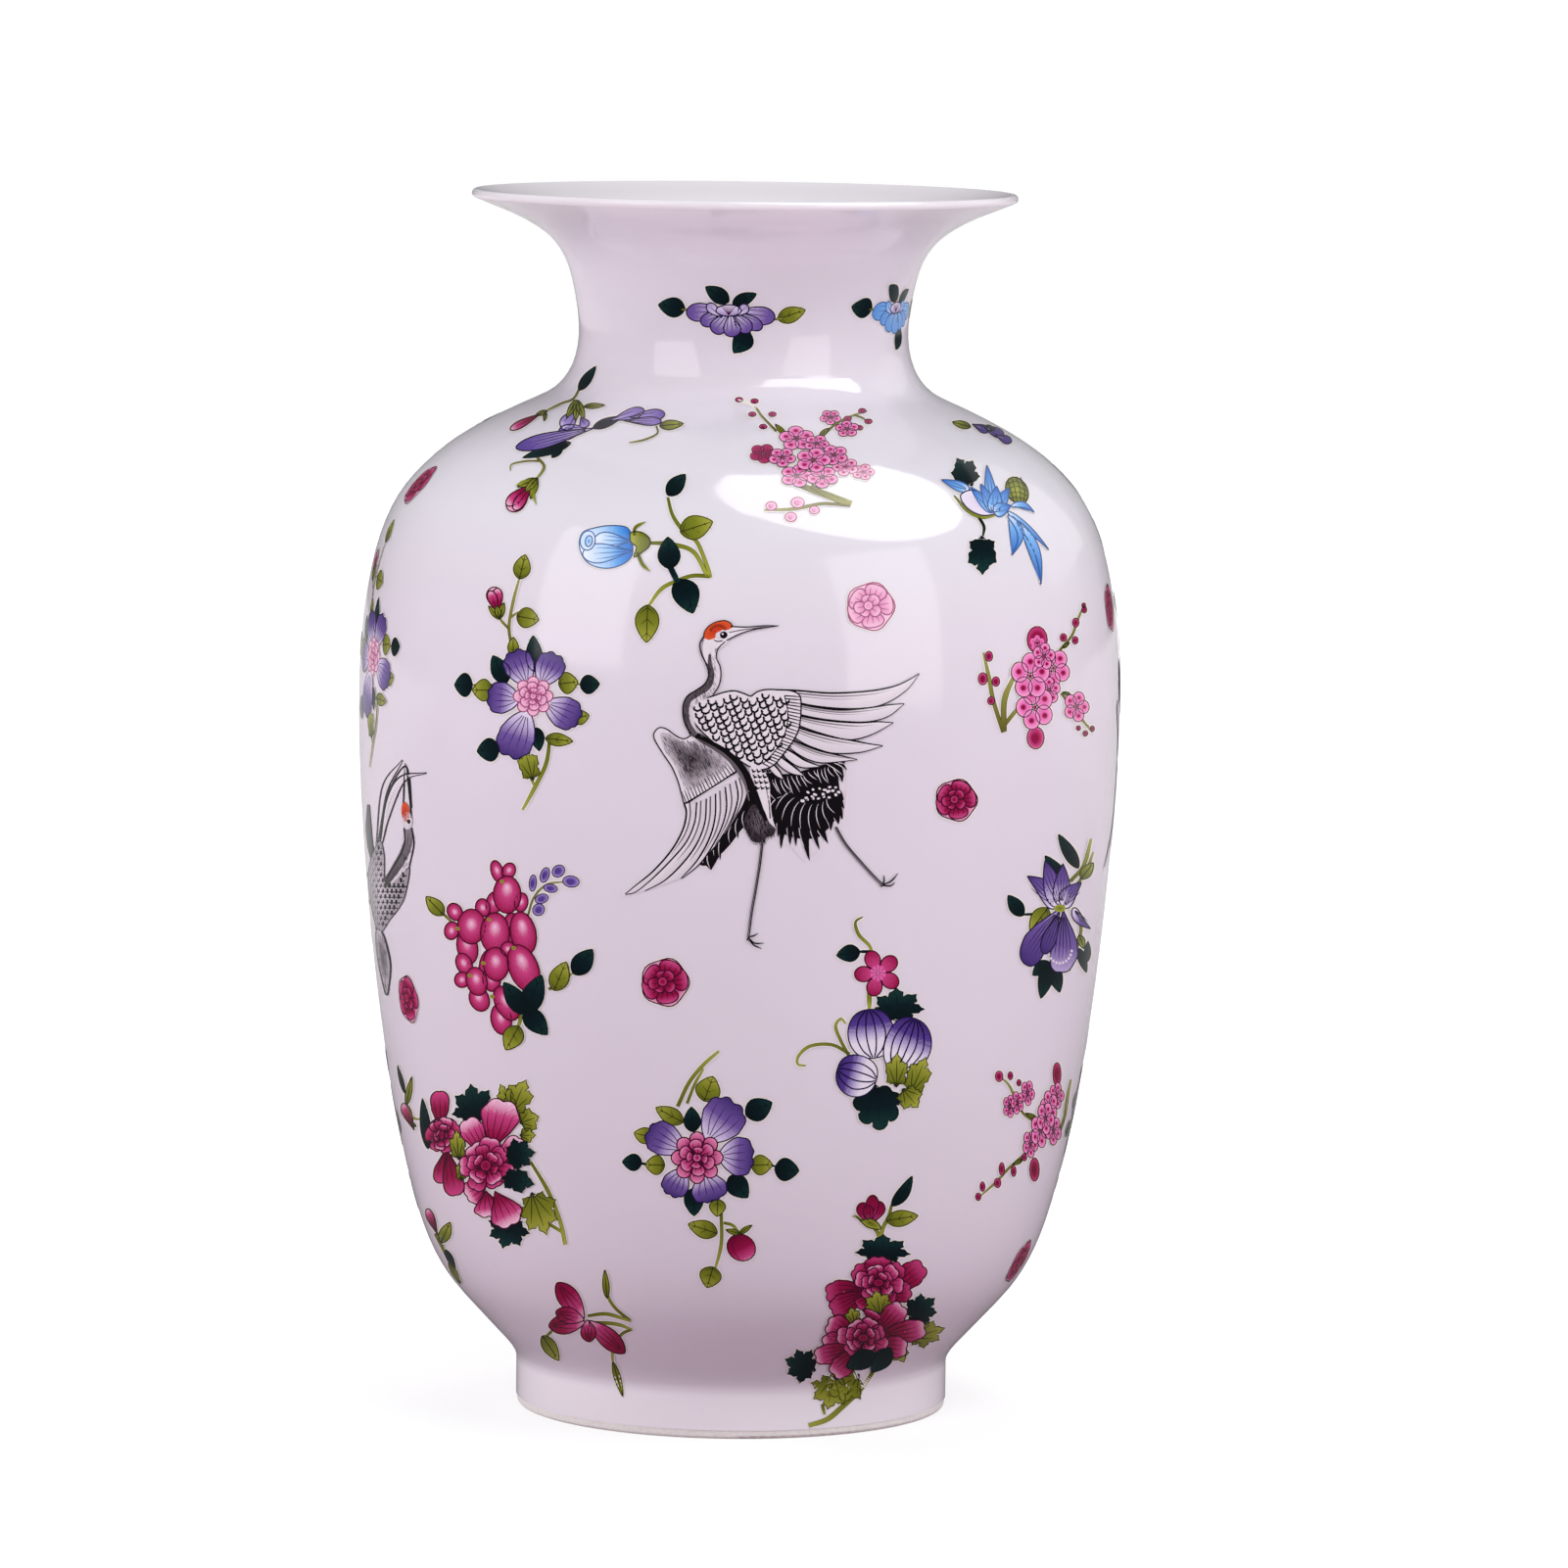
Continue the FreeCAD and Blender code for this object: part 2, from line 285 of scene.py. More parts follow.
# Colours of the enamels. Each is a run of shades, and a shape moves along its run.
INKS = {
    "leaf": [(0, (2, 15, 20)), (0.55, (5, 27, 32)), (1, (18, 52, 50))],
    "olive": [(0, (92, 98, 22)), (0.5, (122, 128, 34)), (1, (168, 170, 66))],
    "magenta": [(0, (92, 0, 36)), (0.5, (150, 12, 68)), (0.78, (200, 66, 128)), (1, (244, 202, 224))],
    "pink": [(0, (212, 62, 142)), (0.5, (234, 120, 184)), (1, (250, 196, 228))],
    "blush": [(0, (206, 110, 160)), (0.5, (232, 158, 196)), (1, (246, 208, 226))],
    "purple": [(0, (54, 32, 108)), (0.5, (96, 72, 154)), (0.85, (166, 146, 206)), (1, (232, 224, 242))],
    "lilac": [(0, (238, 229, 243)), (0.27, (198, 182, 220)), (0.55, (112, 86, 158)), (1, (58, 36, 106))],
    "bluet": [(0, (226, 236, 250)), (0.3, (124, 180, 238)), (1, (26, 92, 192))],
    "blue": [(0, (24, 96, 190)), (0.28, (84, 156, 230)), (0.55, (172, 210, 246)), (1, (236, 242, 252))],
    "ink": [(0, (12, 8, 12)), (1, (16, 10, 16))],
    "wine": [(0, (56, 4, 32)), (1, (74, 8, 44))],
    "rosewood": [(0, (150, 66, 112)), (1, (168, 84, 128))],
    "violet": [(0, (22, 10, 50)), (1, (36, 20, 70))],
    "slate": [(0, (52, 84, 140)), (1, (74, 106, 160))],
    "moss": [(0, (34, 38, 10)), (1, (50, 54, 16))],
    "night": [(0, (4, 16, 18)), (1, (6, 22, 24))],
    "rose": [(0, (134, 12, 66)), (0.5, (190, 60, 122)), (0.8, (222, 128, 172)), (1, (246, 208, 226))],
    "melon": [(0, (48, 28, 98)), (0.32, (84, 60, 142)), (0.5, (184, 170, 212)), (0.66, (230, 224, 236))],
    "grey": [(0, (58, 50, 56)), (0.5, (132, 122, 130)), (1, (216, 206, 216))],
    "plume": [(0, (232, 224, 231)), (1, (208, 198, 208))],
    "crown": [(0, (186, 44, 22)), (1, (218, 86, 46))],
    "halo": [(0, (236, 230, 222)), (1, (236, 230, 222))],
    "rim": [(0, (228, 218, 227)), (1, (228, 218, 227))],
    "stalk": [(0, (96, 88, 34)), (0.5, (128, 126, 52)), (1, (160, 158, 84))],
}

# The line that goes round and inside a shape of each enamel
LINES = {
    "leaf": "night", "olive": "moss", "magenta": "wine", "pink": "wine", "blush": "rosewood", "rose": "wine",
    "purple": "violet", "lilac": "violet", "melon": "violet", "blue": "slate", "bluet": "slate",
}

# In photograph pixels: the longest step of a shape's mesh, the step along a smooth line, and line widths
CELL = 6.0
LINE_STEP = 2.2
HALO_WIDTH = 3.4
RIM_WIDTH = 2.6
STEM_HALO = 2.8
STEM_EDGE = 0.9
SHAPE_LINE = 1.3
LEAF_LINE = 1.1
BLOSSOM_LINE = 0.9
LEAF_VEIN = 1.0
LOBE_VEIN = 0.95
SIDE_VEIN = 0.8
PETAL_LINE = 0.85

# The fewest rings of faces in a filled shape, its innermost ring as a share of it, and the rows of a strip
FEWEST_RINGS = 3
HEART_SHARE = 0.02
STRIP_ROWS = 3

# In layers: how far a line lies over its shape, and a vein over its leaf
LINE_RISE = 0.5
VEIN_RISE = 0.6


# Points along a smooth curve through the given ones
def smooth(points, closed=False, step=LINE_STEP):
    p = np.array(points, float)
    if len(p) < 3:
        length = np.linalg.norm(p[1] - p[0])
        return p[0] + (p[1] - p[0]) * np.linspace(0, 1, max(2, int(length / step / 2) + 1))[:, None]
    if closed:
        ends = np.vstack([p[-1:], p, p[:2]])
    else:
        ends = np.vstack([2 * p[:1] - p[1:2], p, 2 * p[-1:] - p[-2:-1]])
    found = []
    for a, b, c, d in zip(ends, ends[1:], ends[2:], ends[3:]):
        count = max(1, int(np.linalg.norm(c - b) / step))
        t = (np.arange(count) / count)[:, None]
        found.append(0.5 * (2 * b + (c - a) * t + (2 * a - 5 * b + 4 * c - d) * t**2
                            + (3 * b - a - 3 * c + d) * t**3))
    if not closed:
        found.append(p[-1:])
    return np.vstack(found)


# The direction across a line at each of its points
def sideways(points, closed):
    if closed:
        ahead = np.roll(points, -1, 0) - np.roll(points, 1, 0)
    else:
        ahead = np.gradient(points, axis=0)
    ahead /= np.maximum(np.linalg.norm(ahead, axis=1), 1e-9)[:, None]
    return np.stack([-ahead[:, 1], ahead[:, 0]], 1)


# One painted motif on its sketch. corner is the photograph pixel at the sketch's corner, and scale is
# how many of the sketch's units make a pixel. The level says how many layers up the next shape lies.
class Motif:
    def __init__(self, corner, scale):
        self.corner, self.scale = np.array(corner, float), scale
        self.points, self.levels, self.tones, self.faces, self.inks = [], [], [], [], []
        self.count = 0
        self.level = 1.0

    def up(self, steps=1.0):
        self.level += steps

    def mesh(self, points, tones, faces, ink, level):
        self.points.append(self.corner + np.array(points) / self.scale)
        self.tones.append(np.array(tones))
        self.levels.append(np.full(len(points), level))
        self.faces += [tuple(int(i) + self.count for i in face) for face in faces]
        self.inks += [ink] * len(faces)
        self.count += len(points)

    # A closed shape, filled outwards from an anchor. Its tone runs outwards, or along an axis.
    def fill(self, outline, ink, anchor=None, axis=None, tone=(0, 1)):
        edge = np.array(outline, float)
        anchor = edge.mean(0) if anchor is None else np.array(anchor, float)
        reach = np.linalg.norm(edge - anchor, axis=1).max() / self.scale
        rings = max(1 if axis else FEWEST_RINGS, int(math.ceil(reach / CELL)))
        n = len(edge)
        loop = np.vstack([edge, edge[:1]])
        points, tones = [], []
        for ring in range(rings + 1):
            share = ring / rings
            points.append(anchor + (loop - anchor) * max(share, HEART_SHARE))
            run = np.full(n + 1, share)
            if axis is not None:
                base, tip = np.array(axis[0], float), np.array(axis[1], float)
                along = tip - base
                run = np.clip((points[-1] - base) @ along / (along @ along), 0, 1)
            tones.append(np.stack([tone[0] + (tone[1] - tone[0]) * run, np.arange(n + 1) / n], 1))
        faces = []
        for ring in range(rings):
            for i in range(n):
                a = ring * (n + 1) + i
                faces.append((a, a + 1, a + n + 2, a + n + 1))
        self.mesh(np.vstack(points), np.vstack(tones), faces, ink, self.level)

    # A line with its width, thinner towards its ends if asked
    def stroke(self, points, width, ink, closed=False, taper=(1, 1), level=None, tone=(0, 1), curved=True):
        way = smooth(points, closed, LINE_STEP * self.scale) if curved else np.array(points, float)
        width = width * self.scale
        side = sideways(way, closed)
        n = len(way)
        share = np.linspace(0, 1, n)
        if taper == (1, 1):
            half = np.full(n, width / 2)
        else:
            start = taper[0] + (1 - taper[0]) * np.clip(share * 3, 0, 1)
            end = taper[1] + (1 - taper[1]) * np.clip((1 - share) * 3, 0, 1)
            half = width / 2 * np.minimum(start, end)
        left, right = way + side * half[:, None], way - side * half[:, None]
        points = np.stack([left, right], 1).reshape(-1, 2)
        tones = np.stack([np.repeat(tone[0] + (tone[1] - tone[0]) * share, 2), np.tile([0.1, 0.9], n)], 1)
        faces = [(2 * i, 2 * i + 1, 2 * i + 3, 2 * i + 2) for i in range(n - 1)]
        if closed:
            faces.append((2 * n - 2, 2 * n - 1, 1, 0))
        self.mesh(points, tones, faces, ink, self.level if level is None else level)

    # A band between two lines that run the same way
    def strip(self, near, far, ink, tone=(0, 1)):
        near, far = (smooth(line, step=3 * self.scale) for line in (near, far))
        count = max(len(near), len(far))
        pick = np.linspace(0, 1, count)
        rows = [np.stack([np.interp(pick, np.linspace(0, 1, len(line)), line[:, k]) for k in (0, 1)], 1)
                for line in (near, far)]
        points, tones = [], []
        for j in range(STRIP_ROWS + 1):
            share = j / STRIP_ROWS
            points.append(rows[0] + (rows[1] - rows[0]) * share)
            tones.append(np.stack([np.full(count, tone[0] + (tone[1] - tone[0]) * share), pick * 0.9], 1))
        faces = []
        for j in range(STRIP_ROWS):
            for i in range(count - 1):
                a = j * count + i
                faces.append((a, a + 1, a + count + 1, a + count))
        self.mesh(np.vstack(points), np.vstack(tones), faces, ink, self.level)

    # A closed outline through the given points
    def rounded(self, points, step=3):
        return smooth(points, True, step * self.scale)

    # The pale line that sets the crane off from the glaze
    def rim(self, points, closed=True):
        self.stroke(points, RIM_WIDTH, "rim", closed, level=0)

    # A filled shape with its dark line and the pale rim that the transfer leaves on the glaze
    def shape(self, outline, ink, anchor=None, axis=None, width=SHAPE_LINE, halo=True, tone=(0, 1)):
        self.fill(outline, ink, anchor, axis, tone)
        if halo:
            self.stroke(outline, HALO_WIDTH, "halo", True, level=0, curved=False)
        self.stroke(outline, width, LINES[ink], True, level=self.level + LINE_RISE, curved=False)

    # A stem on its halo, with a dark edge
    def stem(self, points, width=2.4, ink="stalk", taper=(1, 0.6)):
        self.stroke(points, width + STEM_HALO, "halo", level=0)
        self.stroke(points, width + STEM_EDGE, "moss", taper=taper)
        self.stroke(points, width, ink, taper=taper, level=self.level + LINE_RISE)


# Several calls of one drawing function, a row of values for each
def each(m, draw, *rows):
    for row in rows:
        draw(m, *row)


# The ends of a shape as arrays, the way between them, and the direction across it
def ends(base, tip):
    base, tip = np.array(base, float), np.array(tip, float)
    axis = tip - base
    return base, tip, axis, np.array([-axis[1], axis[0]]) / np.linalg.norm(axis)


# Outline and middle line of a shape from base to tip, as wide as its profile says
def along_axis(base, tip, width, profile, bend=0.0, count=13):
    base, tip, axis, side = ends(base, tip)
    t = (1 - np.cos(np.linspace(0, math.pi, count))) / 2
    half = profile(t) * width / 2
    middle = base + axis * t[:, None] + side * (bend * np.linalg.norm(axis) * np.sin(math.pi * t))[:, None]
    left = middle + side * half[:, None]
    right = middle - side * half[:, None]
    return np.vstack([left, right[-2:0:-1]]), middle


# Profiles: the width at a share t of the length
def leaf_profile(t):
    return np.sin(math.pi * t**0.85) ** 0.75 * (1 - 0.18 * t)


def egg_profile(t):
    return np.sin(math.pi * np.clip(t, 0, 1) ** 1.5) ** 0.55 * (0.25 + 0.75 * t**0.5)


def broad_profile(t):
    return np.sin(math.pi * np.clip(t, 0, 1) ** 1.15) ** 0.4 * (0.55 + 0.45 * t**0.5)


def magnolia_profile(t):
    return np.sin(math.pi * t**0.8) ** 0.8


def blade_profile(t):
    return np.sin(math.pi * t**0.6) ** 0.8


def melon_profile(t):
    return np.clip(1 - (2 * t - 1) ** 2, 0, 1) ** 0.42


# A pointed leaf with a middle vein and pairs of side veins
def leaf(m, base, tip, width, veins=3, ink="leaf", bend=0.0):
    outline, middle = along_axis(base, tip, width, leaf_profile, bend)
    m.shape(outline, ink, anchor=middle[len(middle) // 2], axis=(base, tip), width=LEAF_LINE)
    vein = LINES[ink]
    m.stroke(middle[:-1], LEAF_VEIN, vein, taper=(1, 0.4), level=m.level + VEIN_RISE, curved=False)
    base, tip, axis, side = ends(base, tip)
    for i in range(veins):
        t = 0.22 + 0.5 * i / (veins - 1) if veins > 1 else 0.4
        k = int(t * (len(middle) - 1))
        root = middle[k]
        for sign in (-1, 1):
            end = root + axis * 0.16 + side * sign * width * 0.30 * (1 - 0.3 * t)
            m.stroke([root, end], SIDE_VEIN, vein, taper=(1, 0.4), level=m.level + VEIN_RISE)


# A petal with lines from its base, and a rim with lobes if asked
def petal(m, base, tip, width, ink, profile=egg_profile, bend=0.0, lines=3, lobes=0, deep=0.10, tone=(0, 1),
          halo=True):
    outline, _ = along_axis(base, tip, width, profile, bend, 17)
    base, tip, axis, side = ends(base, tip)
    if lobes:
        centre = base + axis * 0.55
        way = outline - centre
        angle = np.arctan2(way @ np.array([-axis[1], axis[0]]), way @ axis)
        notch = np.abs(np.sin(angle * lobes / 2 + (math.pi / 2 if lobes % 2 == 0 else 0)))
        ease = np.clip((way @ axis) / (axis @ axis) + 0.35, 0, 1)
        outline = centre + way * (1 - deep * 2 * (1 - notch) * ease)[:, None]
        outline = m.rounded(outline, 2)
    m.shape(outline, ink, anchor=base + axis * 0.5, axis=(base, tip), tone=tone, halo=halo)
    for i in range(lines):
        lean = (i - (lines - 1) / 2) / lines
        far = base + axis * (0.78 - 0.12 * abs(lean)) + side * lean * width * 0.75
        near = base + axis * 0.12 + side * lean * width * 0.18
        mid = (near + far) / 2 + side * lean * width * 0.12
        m.stroke([near, mid, far], PETAL_LINE, LINES[ink], taper=(1, 0.3), level=m.level + VEIN_RISE)


# Petals one over the other: base, tip and width of each
def petals(m, rows, *look, step=0.7, **more):
    for base, tip, width in rows:
        petal(m, base, tip, width, *look, **more)
        m.up(step)


# Points round an ellipse: half its width across and down, turned by degrees
def ellipse(centre, across, down, turn=0.0, count=20):
    t = np.linspace(0, 2 * math.pi, count, endpoint=False)
    c, s = math.cos(math.radians(turn)), math.sin(math.radians(turn))
    x, y = across * np.cos(t), down * np.sin(t)
    return np.stack([centre[0] + x * c - y * s, centre[1] + x * s + y * c], 1)


# The point at a distance and a direction from a centre
def at(centre, radius, degrees, squash=(1, 1)):
    turn = math.radians(degrees)
    return (centre[0] + radius * math.cos(turn) * squash[0], centre[1] + radius * math.sin(turn) * squash[1])


# A round bud seen from above: petals folded over each other, a ring of them round a heart of smaller ones
def rosette(m, ink="magenta"):
    centre, radius = (0, 0), 82
    edge = [at(centre, radius * (1 + 0.05 * math.cos(math.radians(5 * a))), a) for a in range(0, 360, 12)]
    m.shape(edge, ink, anchor=centre, tone=(0.35, 0.95))
    m.up()
    for i, (lean, reach) in enumerate([(-10, 0.97), (8, 0.9), (14, 0.98), (-6, 0.92), (2, 0.96)]):
        turn = 72 * i + lean
        petals(m, [(at(centre, radius * 0.22, turn), at(centre, radius * reach, turn), radius * 1.06)], ink,
               broad_profile, tone=(0.1, 0.86), halo=False)
    heart = at(centre, radius * 0.10, 200)
    for i, (lean, reach) in enumerate([(0, 0.6), (16, 0.5), (-12, 0.62), (10, 0.46), (-8, 0.56)]):
        turn = 36 + 72 * i + lean
        petals(m, [(at(heart, radius * 0.04, turn), at(heart, radius * reach, turn), radius * 0.56)], ink,
               broad_profile, lines=1, tone=(0.0, 0.84), halo=False)
    m.shape([at(heart, radius * 0.2, a) for a in range(0, 360, 30)], ink, halo=False, tone=(0.3, 0.8))
    m.up()


# The same bud in a paler pink
def blush_rosette(m):
    rosette(m, "blush")


# The ruffled heart of a peony: three rings of scalloped petals round a folded middle
def peony(m, centre, radius, turn=0.0, squash=(1, 1), count=6):
    ink = "magenta"
    size = (squash[0] + squash[1]) / 2
    rings = [(1.0, 0.92, count, 0), (0.74, 0.72, 5, 30), (0.5, 0.56, 4, 10)]
    for ring, (reach, wide, number, shift) in enumerate(rings):
        for i in range(number):
            sway = math.sin(5.1 * i + 2.3 * ring)
            a = turn + shift + 360 / number * i + 9 * sway
            base = at(centre, radius * 0.12, a, squash)
            tip = at(centre, radius * reach * (1 + 0.09 * math.cos(3.7 * i + ring)), a, squash)
            petals(m, [(base, tip, radius * wide * size * (1 + 0.12 * sway))], ink, lobes=5,
                   lines=3 if ring < 2 else 2, halo=ring == 0, tone=(0.12 + 0.1 * sway, 0.96 + 0.08 * sway))
    m.shape([at(centre, radius * 0.2, a, squash) for a in range(0, 360, 30)], ink, halo=False,
            tone=(0.1, 0.7))
    m.up()


# The round heart of a violet flower: three rings of small petals
def blush_heart(m, centre, radius, ink="blush"):
    rings = [(1.0, 0.66, 8, 0), (0.72, 0.6, 6, 24), (0.42, 0.46, 4, 8)]
    for ring, (reach, wide, number, shift) in enumerate(rings):
        for i in range(number):
            a = shift + 360 / number * i
            petals(m, [(at(centre, radius * 0.1, a), at(centre, radius * reach, a), radius * wide)], ink,
                   step=0.5, lines=2 if ring < 2 else 1, halo=ring == 0, tone=(0, 0.9))
    m.shape(ellipse(centre, radius * 0.16, radius * 0.16), ink, halo=False)


# A closed bud in its cup
def bud(m, base, tip, width):
    base, tip, axis, side = ends(base, tip)
    side = side * width
    foot = base + axis * 0.1
    petals(m, [(foot, tip, width)], "magenta", lines=0)
    petals(m, [(foot, tip - axis * 0.06 + side * 0.22, width * 0.62),
               (foot, tip - axis * 0.1 - side * 0.20, width * 0.58)], "magenta", lines=1, halo=False)
    for sign in (-1, 1):
        leaf(m, base - axis * 0.05, base + axis * 0.42 + side * 0.42 * sign, width * 0.36, 0, "olive")
    m.up(0.6)
    leaf(m, base - axis * 0.08, base + axis * 0.38, width * 0.36, 0, "olive")
    m.up(0.6)


# How far a line through three points bends off the straight, as a share of its length
def bow(points):
    a, b, c = (np.array(p, float) for p in points)
    _, _, axis, side = ends(a, c)
    return float((b - (a + c) / 2) @ side / np.linalg.norm(axis))


# Where the lobes of a leaf lie, as turns from its tip, and how far each reaches. Below them, the outline
# of one lobe, as shares of the turn between two lobes and of their reach.
LOBES = {5: [(0, 1.0), (56, 0.92), (122, 0.8)], 7: [(0, 1.0), (46, 0.94), (92, 0.92), (142, 0.78)]}
POINTED = [(-0.5, 0.76), (-0.32, 0.95), (-0.12, 1.0), (0, 1.17), (0.12, 1.0), (0.32, 0.95)]
ROUNDED = [(-0.5, 0.86), (-0.34, 1.0), (-0.16, 1.08), (0, 1.1), (0.16, 1.08), (0.34, 1.0)]


# A leaf with pointed or rounded lobes, and a vein to each lobe but the rearmost
def lobed(m, base, tip, width, ink="leaf", lobes=5, edge=POINTED):
    base, tip, axis, side = ends(base, tip)
    centre = base + axis * 0.42

    def place(turn, swell):
        across, along = math.sin(math.radians(turn)), math.cos(math.radians(turn))
        return centre + (axis * (0.58 if along > 0 else 0.42) * along + side * width / 2 * across) * swell

    ring = sorted((sign * turn, reach) for sign in (-1, 1) for turn, reach in LOBES[lobes]
                  if turn or sign > 0)
    spread = 360 / lobes
    outline = [place(turn + share * spread, reach * swell) for turn, reach in ring for share, swell in edge]
    m.shape(outline, ink, anchor=centre, axis=(base, tip), width=LEAF_LINE)
    for turn, reach in ring:
        if abs(turn) < 130:
            end = place(turn, reach * 0.8)
            vein = [base + axis * 0.06, (base + end) / 2 + axis * 0.04, end]
            m.stroke(vein, LOBE_VEIN, LINES[ink], taper=(1, 0.4), level=m.level + VEIN_RISE)


# A plum blossom: five round petals, each with a deep spot
def blossom(m, centre, radius, turn=0.0, squash=(1, 1), ink="pink"):
    for i in range(5):
        middle = at(centre, radius * 0.62, turn + 72 * i, squash)
        m.shape(ellipse(middle, radius * 0.48 * squash[0], radius * 0.48 * squash[1], 0, 14), ink,
                anchor=middle, width=BLOSSOM_LINE, tone=(0.15, 0.8))
    m.up(0.6)
    for i in range(5):
        a = turn + 72 * i
        spot = ellipse(at(centre, radius * 0.68, a, squash), radius * 0.17 * squash[0],
                       radius * 0.15 * squash[1], 0, 10)
        m.fill(spot, "magenta", tone=(0.2, 0.75))
        m.stroke([at(centre, radius * 0.08, a, squash), at(centre, radius * 0.36, a, squash)], 0.4, "wine")
    m.fill(ellipse(centre, radius * 0.10 * squash[0], radius * 0.10 * squash[1], 0, 8), "rose", tone=(0, 0.2))
    m.up(0.6)


# A small closed bud or berry with a line round its heart
def bead(m, x, y, across, down, ink="pink", turn=0.0, tone=(0.15, 1)):
    m.shape(ellipse((x, y), across, down, turn, 14), ink, width=LEAF_LINE, tone=tone)
    m.stroke(ellipse((x, y), across * 0.45, down * 0.5, turn, 10)[2:7], 0.6, "wine",
             level=m.level + VEIN_RISE)


# A thin stem with the next shapes above it
def twig(m, points, width=1.6):
    m.stem(points, width, "stalk", taper=(1, 0.5))
    m.up(0.6)


# An oval petal, pale at its heart and deep at its rim
def oval(m, x, y, across, down, turn=0.0, deep=0.0):
    heart = (x - deep * across * math.sin(math.radians(-turn)),
             y - deep * down * math.cos(math.radians(turn)))
    m.shape(ellipse((x, y), across * 1.16, down * 1.16, turn), "magenta", anchor=heart, tone=(1.0, 0.5))
    m.up(0.55)


# A melon, deep at the stalk and nearly white below, with ribs from end to end
def melon(m, top, bottom, width, lean=0.0, ribs=4):
    outline, _ = along_axis(top, bottom, width, melon_profile, lean, 19)
    top, bottom, axis, side = ends(top, bottom)
    m.shape(outline, "melon", anchor=(top + bottom) / 2, axis=(top, bottom))
    for k in range(ribs):
        share = (k + 0.5) / ribs * 2 - 1
        rib = []
        for t in (0.03, 0.2, 0.5, 0.8, 0.98):
            swell = math.sin(math.pi * t)
            shift = share * width * 0.42 * swell ** 0.6 + lean * swell * np.linalg.norm(axis)
            rib.append(top + axis * t + side * shift)
        m.stroke(rib, 1.5, "violet", level=m.level + VEIN_RISE)
    m.up()


# The crane: red crown, grey neck, scaled back, black plumes

# Which of the points lie inside a fence
def within(points, fence):
    points, fence = np.array(points, float), np.array(fence, float)
    found = np.zeros(len(points), bool)
    for a, b in zip(fence, np.roll(fence, -1, 0)):
        crosses = (a[1] > points[:, 1]) != (b[1] > points[:, 1])
        reach = (b[0] - a[0]) * (points[:, 1] - a[1]) / (b[1] - a[1] + 1e-12) + a[0]
        found ^= crosses & (points[:, 0] < reach)
    return found


# A long flight feather between its leading and trailing edges, which meet at the tip
def feather(m, near, far, shade):
    m.strip(near, far, "plume", tone=(0, shade))
    m.stroke(near, 1.89, "ink", taper=(1, 0.5), level=m.level + LINE_RISE)
    m.stroke(far, 1.365, "ink", taper=(1, 0.5), level=m.level + LINE_RISE)
    m.up(0.6)


# A black plume with a pale line on one side
def blade(m, root, tip, width, bend=0.0):
    outline, middle = along_axis(root, tip, width, blade_profile, bend, 11)
    m.fill(outline, "ink", anchor=middle[5])
    m.stroke(outline[2:9], 0.8, "plume", level=m.level + 0.25, curved=False, taper=(0.2, 0.2))
    m.up(0.4)


# Short pen strokes in one direction, scattered inside a fence
def hatch(m, fence, along, count, length, ink, seed, width=0.6):
    pick = np.random.RandomState(seed)
    low, high = np.min(fence, 0), np.max(fence, 0)
    points = low + (high - low) * pick.rand(count * 3, 2)
    points = points[within(points, fence)][:count]
    for x, y in points:
        turn = math.radians(along + 24 * (pick.rand() - 0.5))
        dx, dy = math.cos(turn) * length * (0.6 + 0.6 * pick.rand()), math.sin(turn) * length
        m.stroke([(x, y), (x + dx, y + dy)], width, ink, taper=(0.4, 0.3))


# Short strokes from one line to another, evenly spread
def fringe(m, near, far, shares, width, taper):
    for share in shares:
        a = near[int(share * (len(near) - 1))]
        b = far[int(share * (len(far) - 1))]
        m.stroke([a, b], width, "ink", taper=taper)


